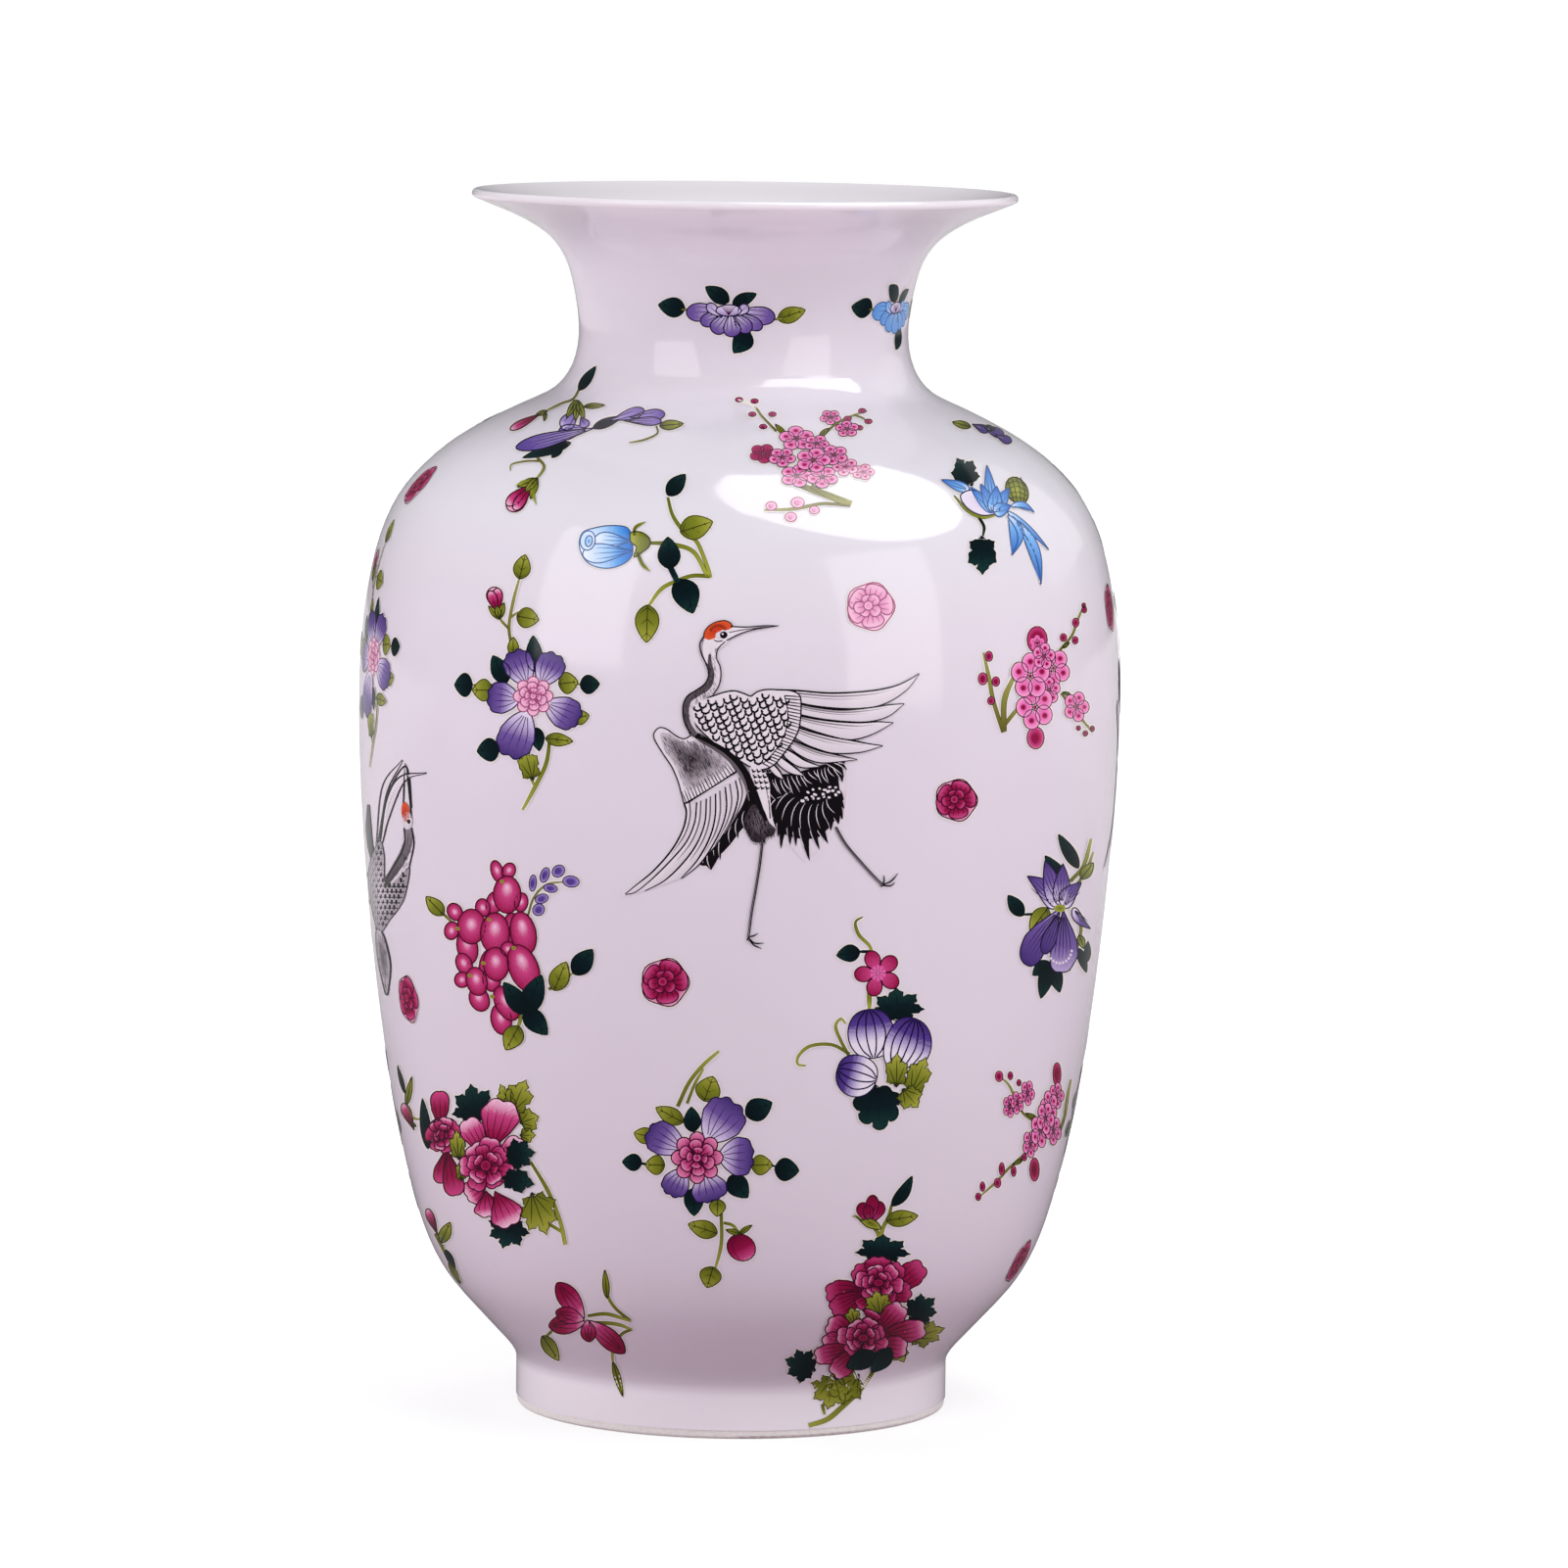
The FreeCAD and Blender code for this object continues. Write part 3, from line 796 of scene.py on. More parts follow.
# The wing behind, folded down to the left
def far_wing(m):
    covert = [(262, 592), (264, 566), (284, 549), (312, 556), (345, 580), (380, 593), (428, 572), (480, 600),
              (530, 642), (572, 684), (590, 716), (540, 750), (484, 786), (430, 820), (384, 846), (370, 815),
              (355, 760), (330, 702), (294, 648)]
    edges = [
        [(378, 842), (388, 885), (374, 950), (330, 1030), (258, 1112), (190, 1168), (148, 1202)],
        [(428, 842), (420, 920), (388, 996), (330, 1066), (256, 1140), (192, 1192), (150, 1204)],
        [(466, 828), (460, 920), (430, 1002), (378, 1076), (304, 1148), (226, 1190)],
        [(502, 808), (500, 900), (478, 984), (430, 1070), (366, 1142)],
        [(540, 782), (545, 862), (528, 934), (490, 1012), (442, 1082), (372, 1140)],
        [(580, 756), (590, 822), (568, 904), (520, 990), (470, 1050)],
        [(612, 734), (628, 792), (606, 862), (556, 936), (500, 1010)],
    ]
    dark = [(628, 800), (664, 850), (650, 905), (604, 950), (566, 1000), (530, 1040), (500, 1064),
            (486, 1108), (466, 1092), (440, 1088), (470, 1046), (512, 1000), (560, 934), (604, 862)]
    m.rim(dark)
    m.fill(m.rounded(dark), "ink", anchor=(570, 960))
    m.up(0.6)
    plumes = [((520, 985), (498, 1060)), ((545, 955), (520, 1070)), ((500, 1010), (452, 1092)),
              ((575, 930), (560, 1010)), ((600, 900), (590, 985)), ((625, 870), (618, 950)),
              ((484, 1030), (486, 1110))]
    for root, tip in plumes:
        blade(m, root, tip, 20, 0.08)
    whole = edges[0] + edges[5][::-1]
    m.rim(whole)
    for near, far in list(zip(edges, edges[1:]))[::-1]:
        feather(m, near, far, 0.9)
    for near, far in zip(edges, edges[1:]):
        shaft = [(np.array(a) * 0.55 + np.array(b) * 0.45) for a, b in zip(near[:4], far[:4])]
        m.stroke(shaft, 1.7, "grey", taper=(1, 0.2), tone=(0.25, 0.5))
    m.up(0.6)
    m.rim(covert)
    m.fill(m.rounded(covert), "plume", anchor=(430, 690), tone=(0.9, 0.2))
    m.stroke(covert, 1.38, "ink", True, level=m.level + LINE_RISE)
    m.up(0.6)
    inner = [(285, 575), (320, 572), (380, 606), (430, 600), (490, 632), (545, 680), (540, 712), (470, 760),
             (400, 796), (375, 770), (345, 700), (305, 640)]
    m.fill(m.rounded(inner), "grey", anchor=(405, 670), tone=(0.0, 0.9))
    m.up(0.6)
    hatch(m, inner, 55, 190, 18, "ink", 3, 0.9)
    hatch(m, [(320, 590), (460, 600), (480, 700), (380, 720)], 60, 150, 16, "ink", 4, 1.0)
    m.up(0.6)
    low = smooth([(384, 846), (480, 788), (590, 716)], step=4.0)
    high = smooth([(366, 800), (460, 745), (562, 676)], step=4.0)
    fringe(m, low, high, np.linspace(0.02, 0.98, 18), 1.0, (1, 0.4))
    m.stroke(low, 1.25, "ink", curved=False)
    m.up()


# Black ruffled plumes over the tail, with pale flecks
def tail_plumes(m):
    m.level = 2
    edge = [(700, 740), (900, 690), (1012, 700), (1010, 880), (960, 960), (872, 1070), (800, 1012),
            (720, 950)]
    m.rim(edge)
    mass = [(690, 735), (800, 730), (960, 690), (985, 760), (985, 880), (930, 960), (880, 985), (790, 975),
            (725, 925), (700, 850)]
    m.fill(m.rounded(mass), "ink", anchor=(850, 830))
    m.up(0.6)
    tips = [(1012, 838), (1014, 872), (1004, 908), (984, 936), (960, 958), (938, 1000), (906, 1030),
            (868, 1076), (852, 1028), (824, 1018), (798, 1012), (764, 1020), (742, 984), (724, 960),
            (702, 926)]
    roots = [(958, 800), (955, 815), (948, 830), (940, 845), (925, 850), (915, 850), (905, 850), (890, 850),
             (875, 850), (858, 848), (842, 845), (826, 840), (810, 835), (798, 828), (785, 820)]
    ruffle = np.random.RandomState(21)
    for k, (root, tip) in enumerate(zip(roots, tips)):
        stray = 16 * (ruffle.rand(2) - 0.5)
        blade(m, root, (tip[0] + stray[0], tip[1] + stray[1]), 30 + 12 * ruffle.rand(),
              0.12 if k > 4 else -0.10)
    low_plumes = [((820, 800), (735, 880)), ((830, 820), (760, 925)), ((850, 830), (800, 950)),
                  ((870, 835), (840, 960)), ((895, 838), (880, 965)), ((918, 836), (918, 955)),
                  ((935, 830), (950, 930)), ((945, 815), (978, 890))]
    for root, tip in low_plumes:
        blade(m, root, tip, 26, 0.08)
    for x in range(17):
        root = (708 + x * 16 + 10 * ruffle.rand(), 748 - x * 3.6)
        tip = (724 + x * 16 + 26 * ruffle.rand(), 800 - x * 4.6 + 46 * ruffle.rand())
        blade(m, root, tip, 20 + 14 * ruffle.rand(), 0.24 * (ruffle.rand() - 0.6))
    top_plumes = [((930, 680), (1006, 742)), ((950, 672), (1018, 716)), ((975, 676), (1010, 690))]
    for root, tip in top_plumes:
        blade(m, root, tip, 20, -0.1)
    for k in range(20):
        x, y = 838 + (k % 7) * 21 + 10 * (k // 7), 834 - (k // 7) * 19 - (k % 7) * 4
        x, y = x + 12 * ruffle.rand(), y + 12 * ruffle.rand()
        oval_bit = ellipse((x, y), 6 + 4 * ruffle.rand(), 5 + 2 * ruffle.rand(), -30 + 50 * ruffle.rand(), 12)
        m.fill(oval_bit, "plume", tone=(0, 0.3))
        m.stroke(oval_bit[2:8], 1.12, "ink", level=m.level + LINE_RISE)
    m.up()


# The wing in front: eight quills, each between its two edges
def near_wing(m):
    quills = [
        ([(740, 401), (822, 404), (960, 414), (1110, 405), (1205, 386), (1262, 360), (1300, 337)],
         [(790, 440), (880, 462), (1000, 474), (1110, 470), (1185, 446), (1254, 398), (1299, 340)]),
        ([(800, 450), (900, 470), (1000, 480), (1110, 470), (1180, 460), (1241, 455)],
         [(800, 490), (900, 512), (1000, 524), (1100, 526), (1180, 504), (1241, 456)]),
        ([(800, 496), (900, 516), (1000, 527), (1080, 529), (1140, 526), (1198, 530)],
         [(800, 530), (880, 560), (960, 584), (1030, 597), (1110, 578), (1198, 531)]),
        ([(800, 540), (880, 566), (960, 586), (1030, 598), (1100, 612), (1157, 620)],
         [(800, 580), (850, 612), (910, 636), (970, 650), (1070, 646), (1157, 621)]),
        ([(790, 590), (850, 618), (910, 640), (970, 654), (1057, 674)],
         [(770, 610), (820, 650), (870, 676), (930, 688), (1057, 675)]),
        ([(765, 625), (810, 650), (850, 676), (914, 702)], [(750, 640), (790, 680), (840, 706), (914, 703)]),
        ([(745, 655), (780, 680), (812, 704), (852, 738)], [(725, 668), (760, 706), (800, 730), (852, 739)]),
        ([(715, 680), (740, 704), (756, 724), (770, 752)], [(700, 690), (716, 716), (740, 740), (770, 753)]),
    ]
    m.rim(quills[0][0] + quills[0][1][::-1])
    m.rim(quills[4][0] + quills[4][1][::-1])
    for near, far in quills[::-1]:
        feather(m, near, far, 0.75)
    for near, far in quills[:5]:
        smear = [np.array(a) * 0.8 + np.array(b) * 0.2 for a, b in zip(near, far)][:5]
        m.stroke(smear, 1.6, "grey", taper=(1, 0.1), tone=(0.3, 0.75))
        smear = [np.array(a) * 0.6 + np.array(b) * 0.4 for a, b in zip(near, far)][:4]
        m.stroke(smear, 0.8, "grey", taper=(1, 0.1), tone=(0.3, 0.8))
    m.up()


# The back with its rows of dark scales, and the fringe where the wing begins
def scaled_back(m):
    back = [(490, 426), (530, 412), (575, 405), (620, 418), (640, 426), (665, 409), (700, 400), (750, 401),
            (800, 405), (832, 424), (837, 470), (834, 520), (826, 562), (804, 604), (776, 642), (732, 694),
            (684, 714), (640, 704), (590, 674), (540, 644), (480, 594), (430, 544), (404, 502), (398, 462),
            (440, 440)]
    m.fill(m.rounded(back), "plume", anchor=(620, 540), tone=(0, 0.25))
    m.stroke(back, 1.5, "ink", True, level=m.level + LINE_RISE)
    m.up()
    scaled = [(500, 436), (575, 418), (630, 436), (680, 416), (770, 420), (786, 480), (784, 540), (764, 596),
              (728, 646), (668, 694), (600, 660), (540, 620), (480, 570), (430, 520), (414, 470), (450, 448)]
    stray = np.random.RandomState(41)
    for row in range(12):
        for column in range(-4, 16):
            x = 412 + column * 32 + row * 10 + 5 * (stray.rand() - 0.5)
            y = 424 + row * 25 + (12 if column % 2 else 0) - column * 1.5 + 5 * (stray.rand() - 0.5)
            if not within([(x, y)], scaled)[0]:
                continue
            wide, deep = 14 + 3 * stray.rand(), 12 + 3 * stray.rand()
            m.stroke([(x - wide, y - 5), (x - wide * 0.7, y + 1)], 4.5, "grey", tone=(0.1, 0.3),
                     taper=(0.5, 0.6))
            m.stroke([(x - wide, y - 9), (x - wide * 0.8, y + deep * 0.5), (x, y + deep),
                      (x + wide * 0.8, y + deep * 0.5), (x + wide, y - 5)], 2.5, "ink", taper=(0.7, 0.5),
                     level=m.level + LINE_RISE)
    inner_arc = smooth([(772, 424), (784, 480), (782, 540), (764, 594), (732, 644), (688, 690)], step=3.0)
    outer_arc = smooth([(832, 428), (836, 480), (832, 540), (818, 592), (786, 644), (720, 706)], step=3.0)
    fringe(m, inner_arc, outer_arc, np.linspace(0, 1, 24), 1.25, (1, 0.6))
    m.stroke(inner_arc, 1.12, "ink", curved=False)
    m.up()


# The breast and the dark thigh under the wing
def thigh_and_breast(m):
    breast = [(636, 706), (684, 716), (712, 760), (716, 830), (724, 900), (736, 950), (700, 960), (676, 880),
              (655, 790)]
    m.fill(m.rounded(breast), "plume", anchor=(690, 830), tone=(0, 0.4))
    m.stroke([(700, 780), (712, 850), (716, 905)], 1.25, "ink")
    m.up(0.6)
    for k in range(16):
        x, y = 652 + (k % 4) * 19 + 5 * (k // 4), 716 + (k // 4) * 22
        m.stroke([(x - 8, y - 5), (x - 2, y + 7), (x + 9, y + 3)], 2.75, "ink", taper=(0.4, 0.4))
    thigh = [(612, 930), (628, 880), (650, 850), (690, 870), (712, 920), (738, 948), (724, 974), (700, 980),
             (694, 998), (672, 1000), (644, 994), (632, 970)]
    m.fill(m.rounded(thigh), "grey", anchor=(690, 900), tone=(0.45, -0.1))
    m.up(0.6)
    hatch(m, thigh, 75, 210, 18, "ink", 8, 1.1)
    dark_edge = [(404, 560), (440, 590), (506, 626), (560, 664), (608, 716), (646, 790), (672, 850),
                 (700, 915)]
    m.stroke(dark_edge, 8.6, "ink", taper=(0.5, 0.4))
    m.up(0.6)
    grey_edge = [(430, 592), (500, 632), (552, 672), (590, 716), (618, 770), (634, 836)]
    m.stroke(grey_edge, 3.4, "grey", taper=(0.3, 0.3), tone=(0.1, 0.3))
    m.up()


# The bent neck, grey along its back
def neck_of_crane(m):
    neck = [(442, 214), (446, 256), (466, 300), (476, 340), (462, 376), (428, 402), (394, 424), (377, 456),
            (375, 492), (384, 532), (404, 574), (434, 584), (430, 550), (412, 510), (406, 470), (424, 444),
            (470, 430), (494, 414), (514, 388), (523, 350), (520, 310), (506, 276), (510, 244), (540, 214),
            (566, 176), (566, 150), (540, 130), (500, 134), (468, 160), (450, 190)]
    m.rim(neck)
    spine = [(505, 180), (476, 232), (486, 290), (498, 340), (478, 396), (432, 424), (396, 460), (396, 510),
             (420, 574)]
    m.stroke(spine, 12.5, "plume", taper=(1, 0.6))
    m.up(0.6)
    nape = [(480, 262), (480, 300), (488, 340), (474, 384), (434, 412), (396, 440), (385, 490), (396, 540),
            (424, 580)]
    m.stroke(nape, 7.0, "grey", taper=(0.4, 0.9), tone=(0.1, 0.15))
    m.up(0.6)
    shaded = [(468, 250), (500, 250), (505, 340), (500, 410), (440, 436), (400, 470), (398, 540), (420, 580),
              (398, 574), (376, 500), (380, 450), (430, 400), (474, 360), (466, 300)]
    hatch(m, shaded, 70, 240, 13, "ink", 5, 0.7)
    m.up(0.6)
    m.stroke([(458, 190), (442, 218)] + neck[1:11], 1.5, "ink")
    throat = [(540, 212), (512, 240), (506, 276), (520, 310), (523, 350), (514, 388), (494, 418)]
    m.stroke(throat, 1.25, "ink")


# The head: beak, red crown and eye
def head_of_crane(m):
    head = ellipse((508, 192), 52, 46, -30, 24)
    m.fill(head, "plume", tone=(0, 0.2))
    m.up(0.6)
    beak = [(548, 206), (600, 180), (660, 163), (748, 150), (700, 150), (625, 153), (562, 152), (545, 180)]
    m.fill(m.rounded(beak), "plume", anchor=(580, 170), tone=(0, 0.3))
    m.up(0.6)
    m.stroke([(560, 153), (625, 155), (700, 150), (750, 150)], 1.38, "ink", taper=(1, 0.5))
    m.stroke([(545, 208), (600, 181), (660, 163), (748, 151)], 1.25, "ink", taper=(1, 0.4))
    m.stroke([(556, 176), (610, 166), (680, 157), (740, 151)], 1.0, "grey", taper=(1, 0.4), tone=(0, 0))
    crest = [(456, 198), (460, 172), (480, 148), (508, 134), (540, 130), (562, 140), (570, 156)]
    brow = [(552, 166), (530, 166), (514, 176), (498, 200), (476, 206)]
    m.fill(m.rounded(crest + brow), "crown", anchor=(505, 165))
    m.up(0.6)
    m.stroke(crest, 1.12, "ink")
    for k in range(12):
        m.stroke([at((512, 180), 26, 200 + 12 * k), at((512, 180), 38, 204 + 12 * k)], 0.75, "ink")
    m.fill(ellipse((520, 188), 18, 15), "plume")
    m.up(0.6)
    m.fill(ellipse((534, 186), 15, 14), "ink")
    m.up(0.6)
    m.fill(ellipse((530, 182), 4, 4), "plume")
    m.stroke([(496, 206), (510, 212), (530, 208)], 1.12, "ink")
    m.up()


# The two legs, one of them lifted, and their toes
def legs_and_toes(m):
    standing, lifted = (631, 1370), (1156, 1166)
    legs = [[(686, 990), (676, 1080), (660, 1180), (644, 1270), standing],
            [(972, 938), (1010, 1004), (1060, 1064), (1110, 1120), lifted]]
    toes = [[standing, (650, 1366), (668, 1356)], [(631, 1372), (654, 1394), (692, 1394)],
            [(631, 1374), (650, 1400), (682, 1416)], [standing, (626, 1380), (634, 1388)],
            [lifted, (1162, 1150), (1160, 1128)], [lifted, (1190, 1150), (1216, 1120)],
            [(1156, 1167), (1186, 1170), (1204, 1156)], [(1156, 1167), (1150, 1172), (1146, 1168)]]
    for leg in legs:
        m.rim(leg, closed=False)
        m.stroke(leg, 2.62, "ink", taper=(1.5, 0.9))
        m.stroke([(x - 1, y) for x, y in leg], 0.6, "grey", level=m.level + LINE_RISE, tone=(0.4, 0.6))
    for toe in toes:
        m.stroke(toe, 1.5, "ink", taper=(1, 0.4))


# The walking crane, its parts from the farthest to the nearest
def walking_crane(m):
    for part in (far_wing, tail_plumes, near_wing, scaled_back, thigh_and_breast, neck_of_crane,
                 head_of_crane, legs_and_toes):
        part(m)


# Sprays of the neck and shoulder

# A violet flower between dark leaves
def neck_flower(m, ink="lilac"):
    each(m, leaf, ((612, 122), (520, 106), 74, 2), ((764, 96), (684, 44), 60, 2),
         ((778, 104), (860, 68), 48, 2), ((826, 190), (782, 274), 78, 2, "leaf", -0.1),
         ((935, 156), (1030, 124), 60, 3, "olive"))
    m.up()
    each(m, Motif.stem, ([(600, 122), (640, 126)], 1.6), ([(915, 158), (950, 154)], 1.6))
    m.up()
    heart = (768, 128)
    tips = [((612, 134), 74), ((930, 152), 72), ((664, 172), 56), ((884, 190), 54), ((710, 206), 66),
            ((842, 202), 60), ((780, 220), 70)]
    for tip, wide in tips:
        petal(m, heart, tip, wide, ink, lobes=3, deep=0.05, lines=3, tone=(0.0, 0.7))
        m.up(0.7)
    petals(m, [((740, 150), (690, 104), 40), ((790, 146), (830, 108), 40)], ink, lines=1, halo=False,
           tone=(0, 0.4))
    m.shape(ellipse((764, 126), 44, 20), "lilac", axis=((764, 106), (764, 150)), halo=False, tone=(0, 0.5))
    m.up(0.6)
    for k in range(7):
        m.stroke([(764, 142), (740 + 8 * k, 112)], 0.6, "wine")
    m.up()


# The same flower in blue
def blue_neck_flower(m):
    neck_flower(m, "bluet")


# Violet bells and a magenta bud on thin stems
def bell_spray(m):
    leaf(m, (243, 405), (302, 322), 36, 1)
    each(m, Motif.stem, ([(243, 404), (222, 436), (180, 452), (112, 486)], 1.6),
         ([(222, 436), (250, 462), (330, 458)], 1.5))
    m.up()
    leaf(m, (262, 462), (332, 457), 20, 0, "olive")
    petal(m, (112, 486), (4, 542), 30, "magenta", lines=1)
    each(m, leaf, ((132, 478), (92, 492), 18, 0, "olive"), ((128, 484), (122, 512), 14, 0, "olive"))
    m.up()
    each(m, leaf, ((215, 588), (48, 640), 40, 1), ((180, 596), (150, 640), 36, 0),
         ((292, 536), (392, 498), 34, 1))
    m.up()
    petal(m, (270, 532), (172, 560), 60, "purple", lines=2, tone=(1, 0.5))
    petal(m, (240, 470), (186, 540), 60, "purple", lines=2, tone=(0.5, 1))
    m.up()
    petal(m, (300, 536), (24, 606), 58, "purple", lines=4, tone=(1.05, 0.4))
    m.up()
    petal(m, (250, 500), (268, 534), 40, "purple", lines=1, tone=(0.3, 0.9), halo=False)
    each(m, leaf, ((236, 440), (262, 506), 26, 0, "olive"), ((234, 440), (200, 502), 24, 0, "olive"),
         ((236, 440), (232, 512), 26, 0, "olive"))
    m.up()
    petal(m, (350, 512), (470, 474), 44, "purple", lines=2, tone=(1, 0.6))
    petal(m, (420, 500), (542, 488), 46, "purple", lines=2, tone=(1, 0.5))
    m.up()
    petal(m, (400, 512), (530, 514), 34, "purple", lines=3, tone=(1.05, 0.6))
    m.up()
    m.stem([(512, 530), (516, 556), (470, 578), (418, 588)], 1.0)
    leaf(m, (524, 530), (606, 522), 36, 2, "olive")
    each(m, Motif.stem, ([(98, 640), (122, 668), (112, 694), (92, 716)], 2.0),
         ([(104, 652), (60, 652), (8, 664), (6, 684)], 0.9))
    m.up()
    bud(m, (92, 720), (-2, 822), 74)
    m.stroke([(92, 720), (86, 770), (96, 806)], 3.2, "olive", taper=(1, 0.1))
    m.stroke([(92, 716), (52, 724), (22, 738)], 3.2, "olive", taper=(1, 0.1))


# A closed blue flower with its leaves
def blue_bud_spray(m):
    each(m, Motif.stem, ([(488, 936), (560, 940), (640, 966), (690, 1050)], 3.6, "olive", (0.8, 1)),
         ([(552, 778), (570, 842), (610, 898), (654, 934), (690, 1020), (700, 1056)], 3.2, "olive", (0.7, 1)),
         ([(700, 1052), (640, 1050), (590, 1066), (530, 1096), (482, 1160)], 3.2, "olive"))
    m.up()
    each(m, leaf, ((551, 770), (613, 698), 60, 2), ((596, 898), (708, 862), 90, 3, "olive"),
         ((482, 1152), (478, 1282), 90, 3, "olive"), ((585, 1064), (640, 1180), 100, 3, "leaf", -0.06))
    m.up()
    m.stroke([(556, 1010), (586, 1072)], 6, "leaf")
    leaf(m, (560, 1026), (552, 916), 84)
    m.up()
    flower = [(290, 886), (350, 876), (412, 884), (428, 930), (426, 984), (382, 1016), (330, 1024),
              (282, 1010), (254, 978), (244, 936), (256, 900)]
    m.shape(m.rounded(flower), "blue", axis=((430, 940), (250, 940)))
    m.up()
    petal(m, (428, 930), (296, 926), 66, "blue", lines=3, halo=False)
    m.up()
    petal(m, (430, 964), (256, 976), 78, "blue", lines=3, halo=False)
    m.up()
    m.shape(ellipse((274, 928), 26, 34, 10), "blue", anchor=(274, 930), halo=False, tone=(0.4, 0.9))
    m.shape(ellipse((278, 930), 12, 19, 10), "blue", halo=False, tone=(0.2, 0.8))
    m.up()
    cup = [(424, 900), (462, 900), (490, 922), (488, 948), (464, 968), (434, 986), (444, 950), (424, 934)]
    m.shape(m.rounded(cup), "olive", axis=((488, 936), (424, 936)))
    sepals = [[(436, 910), (440, 882), (476, 862)], [(446, 968), (464, 1010), (492, 1036)]]
    for points, wide in zip(sepals, (3.4, 3.8)):
        m.stroke(points, wide, "olive", taper=(1, 0.1))
    for points in sepals:
        m.stroke(points, 0.6, "ink", taper=(1, 0.1), level=m.level + LINE_RISE)


# Plum blossoms over a branch, seen at a slant
def shoulder_plum_spray(m):
    low = (1, 0.7)
    twig(m, [(930, 548), (880, 496), (850, 458), (796, 438)])
    twig(m, [(1090, 566), (1140, 520), (1200, 492), (1246, 478)])
    twig(m, [(1200, 492), (1226, 500), (1250, 516)], 1.2)
    small_buds = [(800, 438), (854, 443), (846, 489), (916, 489), (884, 532), (1228, 477), (1250, 514),
                  (1218, 536), (1178, 504)]
    for x, y in small_buds:
        bead(m, x, y, 13, 8, "magenta", tone=(0.3, 0.9))
    m.up()
    each(m, Motif.stem, ([(1000, 732), (1090, 764), (1190, 802)], 6.0, "stalk", (0.7, 1)),
         ([(1050, 738), (1110, 772), (1186, 804)], 4.0),
         ([(1186, 806), (1090, 800), (990, 818), (888, 822)], 2.4, "stalk", (1, 0.5)))
    m.up()
    large_buds = [(912, 808, 19), (1004, 796, 23), (980, 846, 20), (1062, 822, 17)]
    for x, y, r in large_buds:
        bead(m, x, y, r, r * 0.8, "blush")
    m.up()
    each(m, leaf, ((960, 560), (926, 524), 18, 0, "olive"), ((1080, 566), (1112, 538), 18, 0, "olive"))
    m.up()
    blossoms = [(1118, 500, 34, 20, "pink"), (1176, 540, 38, 50, "pink"), (884, 626, 44, 10, "magenta"),
                (1232, 690, 36, 0, "blush"), (1170, 672, 42, 30, "blush"), (1000, 704, 52, 0, "pink"),
                (1090, 708, 50, 20, "pink"), (1000, 574, 56, 50, "pink"), (1070, 592, 40, 10, "pink"),
                (1130, 632, 46, 30, "pink"), (950, 640, 44, 15, "pink"), (1058, 650, 56, 0, "pink")]
    for x, y, r, turn, ink in blossoms:
        blossom(m, (x, y), r, turn, low, ink)


# A blue flower with long narrow petals and a green dome
def blue_lily_spray(m):
    each(m, Motif.stem, ([(856, 462), (900, 512), (960, 542), (1024, 526)], 3.4, "olive", (0.4, 1)),
         ([(948, 542), (968, 578), (964, 612)], 2.4, "leaf"))
    m.up()
    each(m, lobed, ((960, 604), (962, 744), 118), ((928, 432), (872, 332), 104))
    m.up()
    dome = [(1060, 470), (1048, 430), (1060, 400), (1090, 394), (1122, 420), (1134, 456), (1124, 486),
            (1096, 492)]
    m.shape(m.rounded(dome), "olive", anchor=(1090, 444), tone=(1, 0.2))
    m.up(0.6)
    for k in range(4):
        m.stroke([(1056 + 16 * k, 404 - 4 * k), (1066 + 18 * k, 440), (1080 + 12 * k, 486)], 0.7, "ink")
        m.stroke([(1052, 420 + 18 * k), (1090, 408 + 20 * k), (1128, 430 + 16 * k)], 0.6, "ink")
    m.up()
    long_petals = [([(1056, 522), (1130, 582), (1208, 662)], 21),
                   ([(1092, 556), (1162, 660), (1180, 792)], 25),
                   ([(1058, 536), (1104, 604), (1072, 684)], 26),
                   ([(1070, 500), (1110, 496), (1154, 524)], 22)]
    for points, wide in long_petals:
        petal(m, points[0], points[2], wide, "bluet", blade_profile, bend=bow(points), lines=1, tone=(0, 1))
        m.up(0.7)
    petals(m, [((912, 442), (810, 404), 36), ((1000, 500), (978, 350), 40)], "bluet", blade_profile, lines=2)
    bowl = [(880, 462), (930, 444), (1000, 500), (1020, 526), (960, 536), (904, 508)]
    m.shape(m.rounded(bowl), "lilac", anchor=(950, 496), tone=(0.1, 0.0))
    m.up(0.7)
    short_petals = [((918, 432), 40), ((956, 420), 40), ((1060, 436), 52), ((1014, 428), 52),
                    ((1066, 500), 50)]
    for tip, wide in short_petals:
        petal(m, (1004, 524), tip, wide, "bluet", blade_profile, lines=2, halo=False)
        m.up(0.7)


# A small violet bud with two leaves
def small_violet_bud(m):
    leaf(m, (918, 206), (850, 188), 30, 1, "olive")
    m.up()
    petals(m, [((925, 196), (985, 222), 34), ((960, 200), (1042, 240), 40), ((1010, 236), (1070, 262), 34)],
           "purple", lines=2, tone=(0.9, 0.2))
    leaf(m, (970, 204), (1010, 218), 22, 0)


